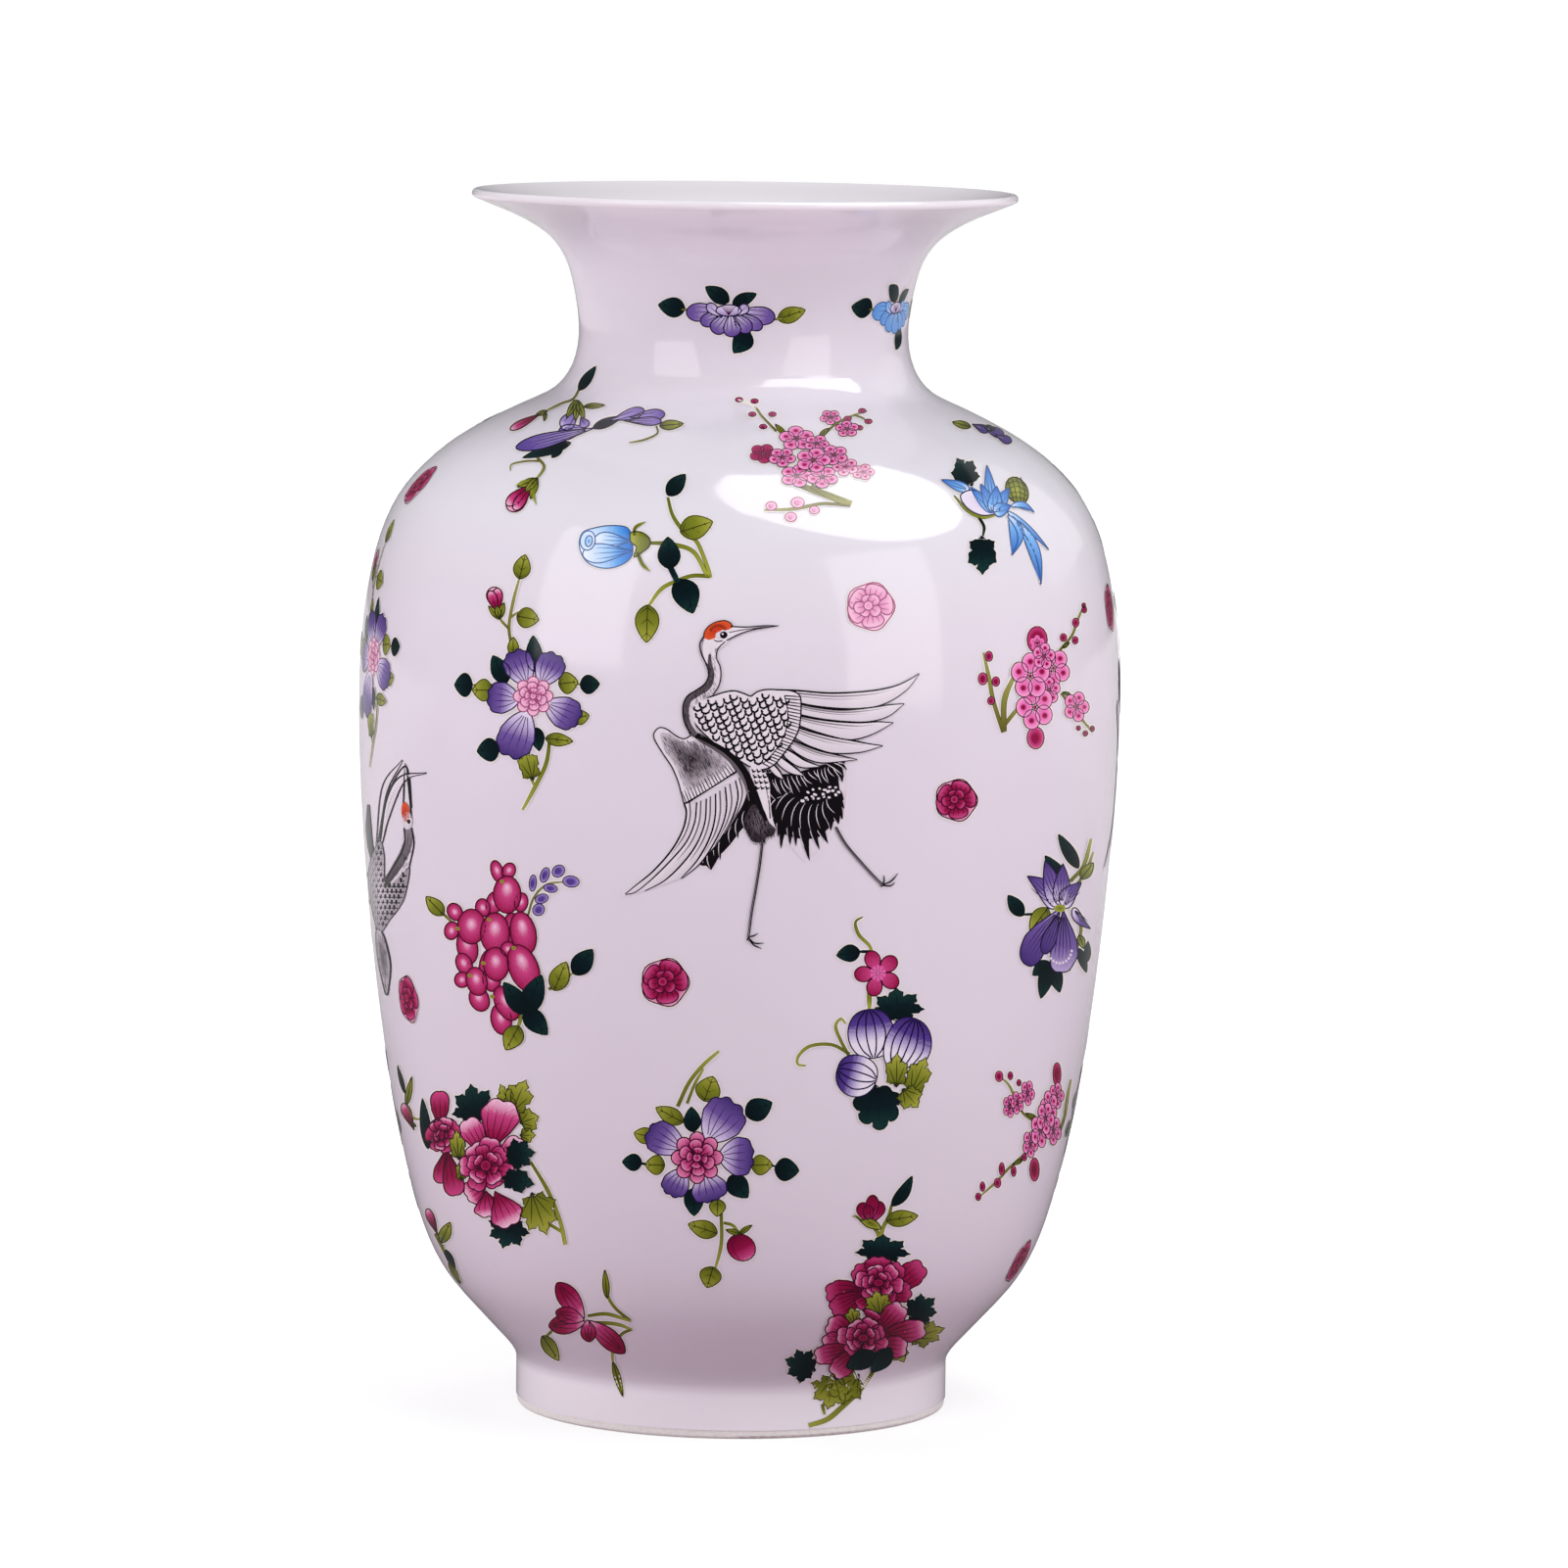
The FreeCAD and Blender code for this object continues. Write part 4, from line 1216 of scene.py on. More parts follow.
# Plum blossoms with round buds on long twigs
def plum_cluster(m):
    each(m, Motif.stem, ([(1040, 1346), (1004, 1232), (986, 1140), (966, 1048)], 3.4, "stalk", (1, 0.5)),
         ([(1042, 1342), (1044, 1226), (1078, 1140)], 5.0, "stalk", (1.2, 0.6)),
         ([(1046, 1316), (1100, 1248)], 3.2))
    twig(m, [(1250, 1040), (1296, 984), (1316, 930), (1344, 862)], 1.8)
    twig(m, [(1256, 1200), (1322, 1284), (1372, 1346)], 2.0)
    twig(m, [(1350, 1320), (1376, 1326)], 1.2)
    buds = [(986, 1062, 14, 19), (963, 1146, 17, 23), (1012, 1156, 14, 18), (994, 1228, 13, 15),
            (1310, 936, 12, 17), (1308, 1002, 11, 14), (1264, 992, 12, 15), (1342, 888, 9, 12),
            (1340, 872, 7, 9), (1346, 1350, 9, 10), (1372, 1332, 8, 10), (1320, 1330, 8, 9)]
    for x, y, a, b in buds:
        bead(m, x, y, a, b, "magenta", tone=(0.1, 0.95))
    m.up()
    each(m, leaf, ((1290, 1206), (1262, 1196), 14, 0, "olive"), ((1262, 1030), (1286, 1010), 14, 0, "olive"))
    bead(m, 1166, 1000, 38, 50, "magenta", tone=(0.1, 0.8))
    m.up(0.6)
    for k in range(5):
        m.fill(ellipse(at((1166, 1012), 17, 72 * k - 90), 10, 12), "pink", tone=(0.1, 0.6))
    m.stroke(ellipse((1166, 1012), 10, 12, 0, 10), 0.7, "wine", True, level=m.level + LINE_RISE)
    m.up()
    bead(m, 1160, 1366, 32, 42, "magenta", tone=(0.3, 0.9))
    m.up()
    blossoms = [(1312, 1250, 50, 20), (1226, 1106, 66, 40), (1210, 1190, 44, 0), (1158, 1252, 74, 54),
                (1140, 1136, 76, 0), (1190, 1062, 44, 10)]
    for x, y, r, turn in blossoms:
        blossom(m, (x, y), r, turn - 18, (0.88, 1.05))


# A violet peony with leaves all round
def violet_peony_spray(m):
    each(m, Motif.stem, ([(456, 768), (442, 860), (400, 950), (352, 1038)], 3.4, "olive", (0.8, 0.6)),
         ([(374, 886), (396, 946)], 2.2, "olive"), ([(314, 430), (300, 340), (316, 240), (340, 150)], 2.2),
         ([(300, 346), (272, 316), (262, 300)], 1.8), ([(300, 306), (336, 280)], 1.6),
         ([(236, 560), (158, 560)], 2.0), ([(548, 556), (580, 558)], 1.6))
    m.up()
    each(m, leaf, ((340, 154), (362, 62), 70, 3, "olive"), ((330, 296), (414, 312), 84, 2, "olive"),
         ((316, 446), (316, 378), 46, 1, "olive"), ((160, 560), (92, 560), 98, 2),
         ((236, 580), (160, 580), 92, 2, "olive"), ((262, 804), (178, 814), 96, 2),
         ((572, 560), (646, 556), 78, 2), ((545, 690), (606, 676), 62, 2, "olive"),
         ((440, 764), (544, 776), 54, 3, "olive"))
    lobed(m, (394, 934), (362, 812), 88, "olive")
    leaf(m, (404, 724), (416, 812), 56, 1)
    m.up(0.7)
    each(m, leaf, ((290, 552), (238, 448), 76, 2), ((400, 510), (392, 372), 70),
         ((490, 556), (564, 548), 90, 2, "olive"))
    m.up()
    bud(m, (262, 300), (238, 186), 72)
    m.level = 3
    petals(m, [((370, 560), (314, 428), 132), ((420, 560), (484, 440), 128), ((340, 616), (216, 604), 138),
               ((440, 630), (572, 696), 140), ((370, 660), (296, 838), 160)], "lilac", broad_profile, lobes=9,
           deep=0.08, lines=4)
    blush_heart(m, (393, 603), 76)


# Sprays of the body's middle and foot

# A branch of oval petals, pale at the heart, with violet buds above
def pink_cluster(m):
    each(m, Motif.stem, ([(444, 292), (470, 212), (520, 162), (600, 150)], 1.4),
         ([(120, 270), (150, 300), (184, 332)], 1.8), ([(526, 562), (560, 548), (622, 498)],),
         ([(412, 640), (418, 680), (404, 716)], 3.0, "olive"))
    m.up()
    leaf(m, (124, 278), (58, 208), 60, 2, "olive")
    violet_buds = [(466, 156, 14, 32, 4), (512, 125, 17, 30, 18), (564, 110, 22, 26, 50),
                   (612, 150, 32, 22, 8), (534, 176, 27, 16, 10), (500, 216, 26, 18, -20),
                   (488, 258, 24, 22, -40)]
    for x, y, a, b, turn in violet_buds:
        bead(m, x, y, a, b, "purple", turn, tone=(0.15, 0.9))
    m.up()
    ovals = [(330, 112, 20, 38, -18, 0.2), (374, 110, 22, 28, 24, 0.2), (318, 232, 26, 38, 10, 0.2),
             (275, 250, 24, 30, -12, 0), (422, 230, 22, 32, 8, 0.1), (368, 200, 46, 62, 0, 0.5),
             (168, 266, 24, 30, -30, 0), (156, 338, 24, 30, 10, 0), (386, 330, 30, 52, 0, 0),
             (300, 480, 34, 62, 4, 0), (216, 402, 34, 56, -12, 0.4), (204, 466, 26, 38, -24, 0.2),
             (196, 526, 25, 26, 0, 0), (262, 600, 32, 42, -24, 0.3), (310, 520, 30, 44, 0, 0),
             (252, 532, 34, 48, -16, 0.3), (232, 322, 46, 58, 0, 0.2), (322, 348, 48, 68, 0, 0.4),
             (430, 348, 42, 72, -12, 0.5), (372, 408, 24, 24, 0, 0), (326, 466, 42, 56, -6, 0.3),
             (432, 482, 48, 82, -22, 0.5), (346, 676, 34, 52, -10, 0.2), (366, 616, 36, 62, -28, 0.3)]
    for x, y, a, b, turn, deep in ovals:
        oval(m, x, y, a, b, turn, deep)
    specks = [(300, 296), (394, 404), (278, 462), (350, 150), (180, 330), (226, 510), (312, 590)]
    for x, y in specks:
        m.fill(ellipse((x, y), 9, 7, 20, 10), "olive", tone=(0.2, 0.9))
    m.up()
    each(m, leaf, ((440, 656), (356, 536), 78, 2), ((438, 656), (500, 508), 92, 2))
    m.up()
    each(m, leaf, ((436, 640), (522, 736), 84, 2), ((414, 704), (364, 794), 84, 3, "olive"),
         ((548, 566), (594, 458), 82, 3, "olive"), ((624, 504), (694, 410), 84, 2))


# Three melons and a magenta flower
def melon_spray(m):
    each(m, Motif.stem,
         ([(515, 132), (488, 152), (500, 198), (540, 240), (548, 272)], 2.6, "olive", (0.4, 0.9)),
         ([(548, 262), (498, 262)], 2.4, "leaf"), ([(540, 400), (540, 476)], 4.0, "olive"),
         ([(466, 656), (432, 592), (414, 540), (434, 512), (450, 530)], 2.4, "olive"),
         ([(466, 644), (400, 610), (322, 614), (278, 648), (272, 682), (302, 688)], 2.4, "olive"))
    m.up()
    leaf(m, (504, 262), (418, 276), 68, 2)
    flower = (572, 342)
    for angle in (-112, -40, 32, 104, 176):
        middle = at(flower, 54, angle)
        m.shape(ellipse(middle, 34, 29, angle), "magenta", axis=(at(flower, 84, angle), flower),
                tone=(0.5, 0.9))
    m.up()
    m.fill(ellipse(flower, 30, 30), "pink", tone=(0.5, 0.2))
    m.up(0.6)
    for k in range(10):
        m.stroke([at(flower, 4, 36 * k), at(flower, 30, 36 * k)], 0.5, "wine")
    m.up()
    each(m, lobed, ((648, 534), (640, 408), 190, "leaf", 7),
         ((560, 748), (580, 918), 178, "leaf", 7, ROUNDED))
    m.up()
    melon(m, (536, 478), (556, 660), 172)
    melon(m, (420, 700), (566, 742), 156, 0.04)
    melon(m, (712, 512), (640, 708), 172, -0.04, 5)
    each(m, lobed, ((640, 776), (642, 652), 92, "olive"), ((690, 800), (746, 668), 96, "olive"))
    m.up()
    lobed(m, (660, 770), (716, 838), 100, "olive")


# An iris with spotted lower petals
def iris_spray(m):
    each(m, Motif.stem, ([(1300, 120), (1330, 170), (1310, 260), (1286, 334)], 2.6, "olive"),
         ([(1290, 0), (1340, -60), (1368, -160)], 3.0, "olive"),
         ([(1316, 10), (1350, -40), (1376, -110)], 2.2, "olive"), ([(1200, 120), (1100, 124)], 2.0, "leaf"))
    m.up()
    each(m, leaf, ((1320, -50), (1246, -176), 50, 2), ((1280, 20), (1196, -96), 60, 2),
         ((1330, -10), (1376, -70), 44, 2, "olive"), ((1112, 128), (1058, 52), 58, 2),
         ((1206, 100), (1140, 186), 74, 3, "olive"), ((1322, 250), (1350, 340), 34, 1),
         ((1352, 300), (1356, 224), 26, 0), ((1324, 200), (1340, 250), 30, 1, "olive"))
    m.up()
    each(m, leaf, ((1210, 300), (1150, 350), 54, 1), ((1214, 300), (1180, 436), 60, 1),
         ((1220, 300), (1250, 414), 58, 1))
    m.up()
    upper_petals = [((1240, 96), (1130, -20), 74, 0.1), ((1250, 96), (1196, -78), 76, 0.0),
                    ((1256, 90), (1262, -66), 66, 0.0), ((1262, 96), (1330, 4), 60, -0.1),
                    ((1300, 100), (1364, 176), 34, 0.1)]
    for base, tip, wide, bend in upper_petals:
        petal(m, base, tip, wide, "lilac", blade_profile, bend, lines=4, lobes=0)
        m.up(0.7)
    petal(m, (1252, 100), (1122, 318), 108, "lilac", egg_profile, 0.06, lines=6, lobes=7, deep=0.04,
          tone=(0.35, 1))
    m.up(0.7)
    petal(m, (1262, 104), (1250, 346), 120, "lilac", egg_profile, -0.06, lines=6, lobes=9, deep=0.05,
          tone=(0.9, 0.3))
    m.up(0.7)
    for k in range(10):
        m.fill(ellipse(at((1250, 250), 50, 10 + 16 * k, (0.9, 1.1)), 5, 6, 0, 8), "plume")
    petal(m, (1250, 110), (1190, 270), 60, "lilac", egg_profile, 0.0, lines=4, tone=(0.5, 1), halo=False)
    m.up()
    m.fill(ellipse((1250, 100), 22, 14), "olive", tone=(0.2, 1))


# Plum blossoms near the edge of the view, narrowed by the curve
def low_plum_spray(m):
    thin = (0.55, 1.0)
    twig(m, [(1160, 900), (1108, 858), (1060, 760), (1012, 722)], 1.8)
    twig(m, [(1130, 1010), (1060, 1072), (1016, 1120), (944, 1184)], 1.8)
    m.stem([(1240, 960), (1268, 880), (1280, 800), (1292, 740)], 2.2)
    buds = [(1024, 728, 14, 20), (1066, 726, 9, 15), (1098, 752, 8, 12), (1034, 1074, 10, 24),
            (1078, 1082, 9, 20), (1018, 1126, 12, 18), (962, 1140, 9, 18), (946, 1178, 10, 14),
            (1118, 1030, 9, 14)]
    for x, y, a, b in buds:
        bead(m, x, y, a, b, "magenta", tone=(0.1, 0.95))
    bead(m, 1240, 720, 15, 44, "magenta", tone=(0.0, 0.8))
    bead(m, 1156, 1076, 18, 44, "magenta", tone=(0.0, 0.8))
    m.up()
    each(m, leaf, ((1164, 884), (1124, 866), 16, 0, "olive"), ((1110, 1040), (1076, 1058), 16, 0, "olive"))
    m.up()
    blossoms = [(1130, 790, 44, 10), (1062, 840, 40, 0), (1092, 826, 40, 30), (1238, 800, 46, 0),
                (1140, 980, 48, 10), (1210, 840, 54, 40), (1176, 930, 60, 0), (1226, 930, 50, 20),
                (1196, 884, 56, 10)]
    for x, y, r, turn in blossoms:
        blossom(m, (x, y), r, turn, thin)


# Two magenta peonies side by side
def twin_peony_spray(m):
    each(m, Motif.stem, ([(540, 420), (600, 522), (640, 622), (658, 702)], 3.2, "olive", (0.7, 1)),
         ([(596, 628), (632, 650), (652, 664)], 2.4, "olive"))
    m.up()
    each(m, leaf, ((112, 186), (88, 96), 14, 0), ((118, 228), (136, 132), 22, 0, "olive"))
    petal(m, (144, 312), (106, 222), 36, "magenta")
    leaf(m, (150, 300), (126, 286), 14, 0, "olive")
    m.stem([(120, 228), (140, 270), (170, 276)], 1.6, "olive")
    m.up()
    leaf(m, (192, 376), (172, 206), 38, 1)
    each(m, lobed, ((360, 300), (338, 168), 150, "leaf", 7), ((470, 262), (520, 152), 104, "olive"),
         ((480, 250), (440, 164), 60, "olive"), ((500, 290), (562, 268), 86, "olive"),
         ((500, 330), (552, 330), 56, "olive"), ((540, 516), (590, 656), 132, "olive", 7),
         ((480, 600), (448, 704), 138, "leaf", 7))
    m.up()
    petals(m, [((236, 320), (230, 172), 76), ((240, 330), (192, 300), 110), ((244, 330), (292, 290), 90),
               ((250, 380), (240, 500), 80), ((258, 380), (288, 544), 84)], "magenta", lobes=5, deep=0.09,
           lines=3, tone=(0, 0.86))
    peony(m, (240, 330), 74, squash=(0.55, 1.0), count=5)
    each(m, lobed, ((298, 420), (290, 320), 60, "olive"), ((306, 490), (304, 420), 40, "olive"))
    m.up()
    petals(m, [((390, 400), (320, 270), 100), ((410, 380), (452, 204), 156), ((420, 480), (506, 330), 90),
               ((390, 500), (322, 540), 100), ((390, 520), (400, 610), 110), ((420, 520), (480, 640), 130)],
           "magenta", lobes=7, deep=0.09, lines=4, tone=(0.25, 1.06))
    peony(m, (390, 432), 92, turn=20, count=7)
    each(m, lobed, ((452, 400), (548, 388), 104, "leaf", 7), ((440, 470), (544, 494), 84))


# A violet rose with leaves all round
def violet_rose_spray(m):
    each(m, Motif.stem, ([(1040, 232), (1078, 152), (1128, 90), (1180, 44)], 3.0, "olive", (1, 0.7)),
         ([(1072, 222), (1098, 156), (1128, 104)], 2.2, "olive"),
         ([(1188, 596), (1188, 700), (1166, 790)], 2.6, "olive"),
         ([(1196, 628), (1226, 636), (1248, 660)], 2.2, "olive"), ([(1340, 430), (1376, 436)], 2.0, "leaf"),
         ([(940, 430), (906, 424)], 2.0, "leaf"))
    m.up()
    each(m, leaf, ((1092, 318), (1086, 234), 62, 1), ((1130, 214), (1160, 130), 92, 3, "olive"),
         ((1058, 286), (966, 236), 62, 3, "olive"), ((954, 338), (892, 322), 60, 1, "olive"),
         ((918, 424), (852, 420), 62, 1), ((996, 432), (930, 430), 72, 2, "olive"),
         ((1272, 262), (1360, 218), 84, 2), ((1290, 432), (1362, 430), 74, 2, "olive"),
         ((1370, 444), (1452, 450), 84, 2), ((1216, 470), (1278, 542), 80, 2),
         ((1094, 510), (1096, 604), 72, 2), ((1176, 548), (1174, 606), 60, 1, "olive"),
         ((1174, 664), (1076, 632), 66, 3, "olive"), ((1160, 778), (1140, 848), 80, 3, "olive"))
    m.up()
    m.shape(ellipse((1256, 712), 50, 44, 30), "magenta", axis=((1240, 664), (1290, 760)), tone=(0, 1))
    m.up(0.6)
    m.stroke([(1222, 690), (1232, 726), (1250, 750)], 0.7, "wine")
    each(m, leaf, ((1250, 664), (1204, 652), 20, 0, "olive"), ((1250, 664), (1292, 636), 18, 0, "olive"))
    m.level = 3
    petals(m, [((1140, 350), (1236, 214), 168), ((1060, 380), (936, 312), 128),
               ((1180, 400), (1300, 404), 152), ((1060, 446), (1012, 536), 106),
               ((1130, 460), (1160, 556), 140)], "lilac", broad_profile, lobes=9, deep=0.08, lines=4)
    blush_heart(m, (1106, 406), 88, "rose")


# A magenta magnolia on a thin branch
def magnolia_spray(m):
    each(m, Motif.stem, ([(734, 944), (800, 938), (880, 962)], 2.8, "olive", (0.8, 0.6)),
         ([(748, 966), (830, 972), (882, 990)], 2.8, "olive", (0.8, 0.6)),
         ([(880, 962), (826, 916), (800, 868), (794, 800)], 2.2, "olive"),
         ([(882, 990), (846, 1010), (820, 1062), (820, 1112)], 2.2, "olive"),
         ([(612, 996), (586, 1020)], 2.2, "olive"))
    m.up()
    each(m, leaf, ((800, 884), (792, 788), 24, 0, "olive"), ((820, 1102), (854, 1218), 24, 0, "olive"),
         ((580, 1012), (636, 1096), 50, 2, "olive"))
    m.up()
    open_petals = [((722, 952), (630, 832), 70), ((726, 966), (602, 978), 66), ((722, 958), (626, 930), 56),
                   ((738, 960), (860, 1070), 64), ((732, 958), (740, 1032), 52)]
    for base, tip, wide in open_petals:
        petal(m, tip, base, wide, "magenta", magnolia_profile, lines=3, tone=(0.2, 1.0))
        m.up(0.7)


# A twig with a small bud
def side_twig(m):
    each(m, Motif.stem, ([(216, 664), (240, 712), (270, 770), (302, 832)], 2.4, "olive"),
         ([(240, 706), (262, 660)], 2.0, "olive"))
    m.up()
    petal(m, (224, 668), (188, 580), 30, "magenta")
    each(m, leaf, ((236, 696), (266, 626), 44, 2, "olive"), ((250, 720), (284, 782), 22, 0),
         ((262, 760), (300, 834), 20, 0, "olive"))


# Two magenta peonies one above the other, with a bud above them
def tall_bouquet(m):
    each(m, Motif.stem, ([(704, 236), (690, 292), (662, 348), (646, 420)], 3.2, "olive", (0.7, 1)),
         ([(610, 330), (640, 372), (646, 420)], 3.2, "olive"),
         ([(624, 1020), (560, 1112), (470, 1200), (396, 1262), (308, 1292)], 4.4, "olive", (0.7, 0.8)),
         ([(372, 1190), (384, 1240)], 2.4, "olive"))
    m.up()
    each(m, leaf, ((706, 240), (802, 98), 62, 3, "leaf", 0.06), ((680, 310), (830, 286), 84, 3, "olive"))
    each(m, lobed, ((660, 520), (664, 388), 250, "leaf", 7), ((350, 1030), (208, 978), 160, "leaf", 7),
         ((560, 1040), (410, 1140), 190, "olive", 7), ((430, 1040), (400, 1200), 190, "olive", 7),
         ((770, 880), (944, 828), 120, "olive", 7), ((720, 900), (760, 980), 90, "olive"),
         ((780, 790), (900, 690), 150, "leaf", 7))
    m.up()
    petals(m, [((600, 330), (556, 226), 76), ((606, 330), (654, 220), 78), ((602, 330), (616, 188), 70),
               ((600, 330), (590, 236), 56)], "magenta", lines=2, tone=(1, 0.1), step=0.6)
    cup = [(536, 290), (560, 310), (600, 300), (640, 322), (652, 350), (620, 350), (580, 336)]
    m.shape(m.rounded(cup), "olive", anchor=(606, 322))
    m.stroke([(548, 300), (530, 288), (512, 292)], 2.4, "olive", taper=(1, 0.1))
    m.level = 3
    petals(m, [((570, 640), (384, 660), 130), ((570, 660), (410, 744), 120), ((700, 640), (862, 520), 136),
               ((690, 660), (800, 640), 120), ((620, 600), (520, 540), 120), ((640, 580), (640, 480), 150),
               ((680, 600), (752, 520), 110), ((600, 680), (560, 740), 120), ((670, 680), (720, 700), 110)],
           "magenta", broad_profile, lobes=7, deep=0.09, lines=4, tone=(0.0, 0.82))
    peony(m, (640, 606), 106, turn=10, squash=(1.1, 0.86), count=6)
    each(m, lobed, ((650, 770), (630, 652), 140, "olive", 7), ((530, 810), (510, 730), 80, "olive"))
    m.up()
    petals(m, [((640, 840), (760, 710), 130), ((660, 860), (872, 820), 120), ((520, 850), (392, 800), 140),
               ((520, 880), (368, 900), 120), ((520, 920), (330, 962), 110), ((540, 930), (420, 1050), 120),
               ((640, 900), (780, 920), 120), ((600, 780), (620, 740), 100)], "magenta", broad_profile,
           lobes=7, deep=0.09, lines=4, tone=(0.0, 1.02))
    peony(m, (566, 866), 112, turn=30, squash=(1.15, 0.8), count=7)
    each(m, leaf, ((620, 940), (488, 1010), 100, 2), ((700, 920), (606, 1030), 90, 2))
    m.up()


# A second crane, rising, at the edge of the view
def rising_crane(m):
    feathers = [([(100, 930), (118, 760), (176, 680)], [(108, 930), (130, 780), (178, 682)]),
                ([(104, 930), (132, 790), (186, 700), (204, 820)],
                 [(116, 920), (140, 800), (192, 720), (204, 822)]),
                ([(112, 920), (130, 800), (170, 730), (248, 718)],
                 [(118, 925), (138, 850), (184, 744), (248, 720)])]
    for near, far in feathers:
        feather(m, near, far, 0.6)
    m.stroke([(76, 812), (78, 900), (92, 1000)], 6.0, "ink", taper=(0.4, 0.4))
    body = [(90, 960), (110, 920), (122, 960), (126, 1042), (160, 1046), (196, 1000), (180, 1090),
            (140, 1150), (108, 1186), (84, 1100), (78, 1010)]
    m.fill(m.rounded(body, 2), "plume", anchor=(116, 1070))
    m.stroke(body, 1.5, "ink", True, level=m.level + LINE_RISE)
    m.up()
    m.fill(m.rounded(body, 2), "grey", anchor=(116, 1070), tone=(1.0, 0.6))
    m.up(0.5)
    for row in range(17):
        for column in range(9):
            x, y = 80 + column * 13 + (6 if row % 2 else 0), 922 + row * 16
            if within([(x, y)], body)[0]:
                m.stroke([(x - 6, y - 6), (x - 4, y + 6), (x + 5, y + 3)], 2.9, "ink", taper=(0.8, 0.6))
    m.up()
    nape = [(190, 872), (196, 900), (184, 950), (150, 1010), (126, 1042)]
    m.stroke(nape, 9, "grey", taper=(0.6, 0.7), tone=(0.5, 0.0))
    shaded = [(182, 890), (204, 890), (206, 980), (160, 1060), (126, 1046), (170, 980)]
    hatch(m, shaded, 110, 90, 10, "ink", 11)
    m.stroke([(204, 880), (210, 930), (196, 1000)], 1.35, "ink")
    m.stroke([(182, 880), (180, 940), (130, 1030)], 1.35, "ink")
    m.up()
    m.fill(ellipse((192, 860), 15, 26), "plume")
    m.stroke([(178, 850), (184, 690)], 1.5, "ink", taper=(1, 0.3))
    m.stroke([(204, 852), (188, 692)], 1.5, "ink", taper=(1, 0.3))
    m.fill(ellipse((186, 834), 12, 30, -6), "crown")
    m.up(0.6)
    m.fill(ellipse((196, 862), 5, 7), "ink")
    low = [(100, 1186), (118, 1190), (136, 1250), (142, 1300), (132, 1372), (120, 1340), (104, 1260)]
    m.fill(m.rounded(low, 2), "grey", anchor=(120, 1260), tone=(0.2, 0.9))
    m.up(0.6)
    hatch(m, low, 80, 90, 14, "ink", 12)
    m.stroke(low, 1.5, "ink", True)


# Sketches of the photograph: the pixel at a sketch's corner, and its units to a pixel
SHOULDER_SKETCH = ((520, 280), 3.41)
RIGHT_SKETCH = ((740, 380), 3.66)
LEFT_SKETCH = ((440, 550), 3.75)
CRANE_SKETCH = ((600, 600), 3.844)
EDGE_SKETCH = ((350, 540), 2.885)
MIDDLE_LEFT_SKETCH = ((420, 860), 3.75)
MIDDLE_RIGHT_SKETCH = ((740, 900), 3.66)
LOW_LEFT_SKETCH = ((380, 1060), 3.333)
LOW_RIGHT_SKETCH = ((760, 1180), 4.69)

# Height of the enamel over the glaze, and of one layer of it over the next
ENAMEL_HEIGHT = 0.11 * MM
LAYER_HEIGHT = 0.009 * MM

# Every spray that the photograph shows from the front: its name, its drawing and its sketch
SPRAYS = [
    ("violet_neck_flower", neck_flower, SHOULDER_SKETCH),
    ("bell_spray", bell_spray, SHOULDER_SKETCH),
    ("blue_bud_spray", blue_bud_spray, SHOULDER_SKETCH),
    ("shoulder_plum_spray", shoulder_plum_spray, SHOULDER_SKETCH),
    ("blue_lily_spray", blue_lily_spray, RIGHT_SKETCH),
    ("small_violet_bud", small_violet_bud, RIGHT_SKETCH),
    ("plum_cluster", plum_cluster, RIGHT_SKETCH),
    ("violet_peony_spray", violet_peony_spray, LEFT_SKETCH),
    ("blush_rosette", blush_rosette, ((888.6, 619.3), 3.41)),
    ("magenta_rosette", rosette, ((679, 1003), 3.41)),
    ("small_rosette", rosette, ((976, 817), 3.9)),
    ("walking_crane", walking_crane, CRANE_SKETCH),
    ("pink_cluster", pink_cluster, MIDDLE_LEFT_SKETCH),
    ("melon_spray", melon_spray, MIDDLE_RIGHT_SKETCH),
    ("iris_spray", iris_spray, MIDDLE_RIGHT_SKETCH),
    ("low_plum_spray", low_plum_spray, MIDDLE_RIGHT_SKETCH),
    ("twin_peony_spray", twin_peony_spray, LOW_LEFT_SKETCH),
    ("violet_rose_spray", violet_rose_spray, LOW_LEFT_SKETCH),
    ("magnolia_spray", magnolia_spray, LOW_LEFT_SKETCH),
    ("side_twig", side_twig, LOW_LEFT_SKETCH),
    ("tall_bouquet", tall_bouquet, LOW_RIGHT_SKETCH),
    ("rising_crane", rising_crane, EDGE_SKETCH),
]


# How far from the camera the outside can lie, and how finely it is looked for
NEAREST_REACH = 2.2
FARTHEST_REACH = 2.6
REACH_TRIES = 200
HALVINGS = 22


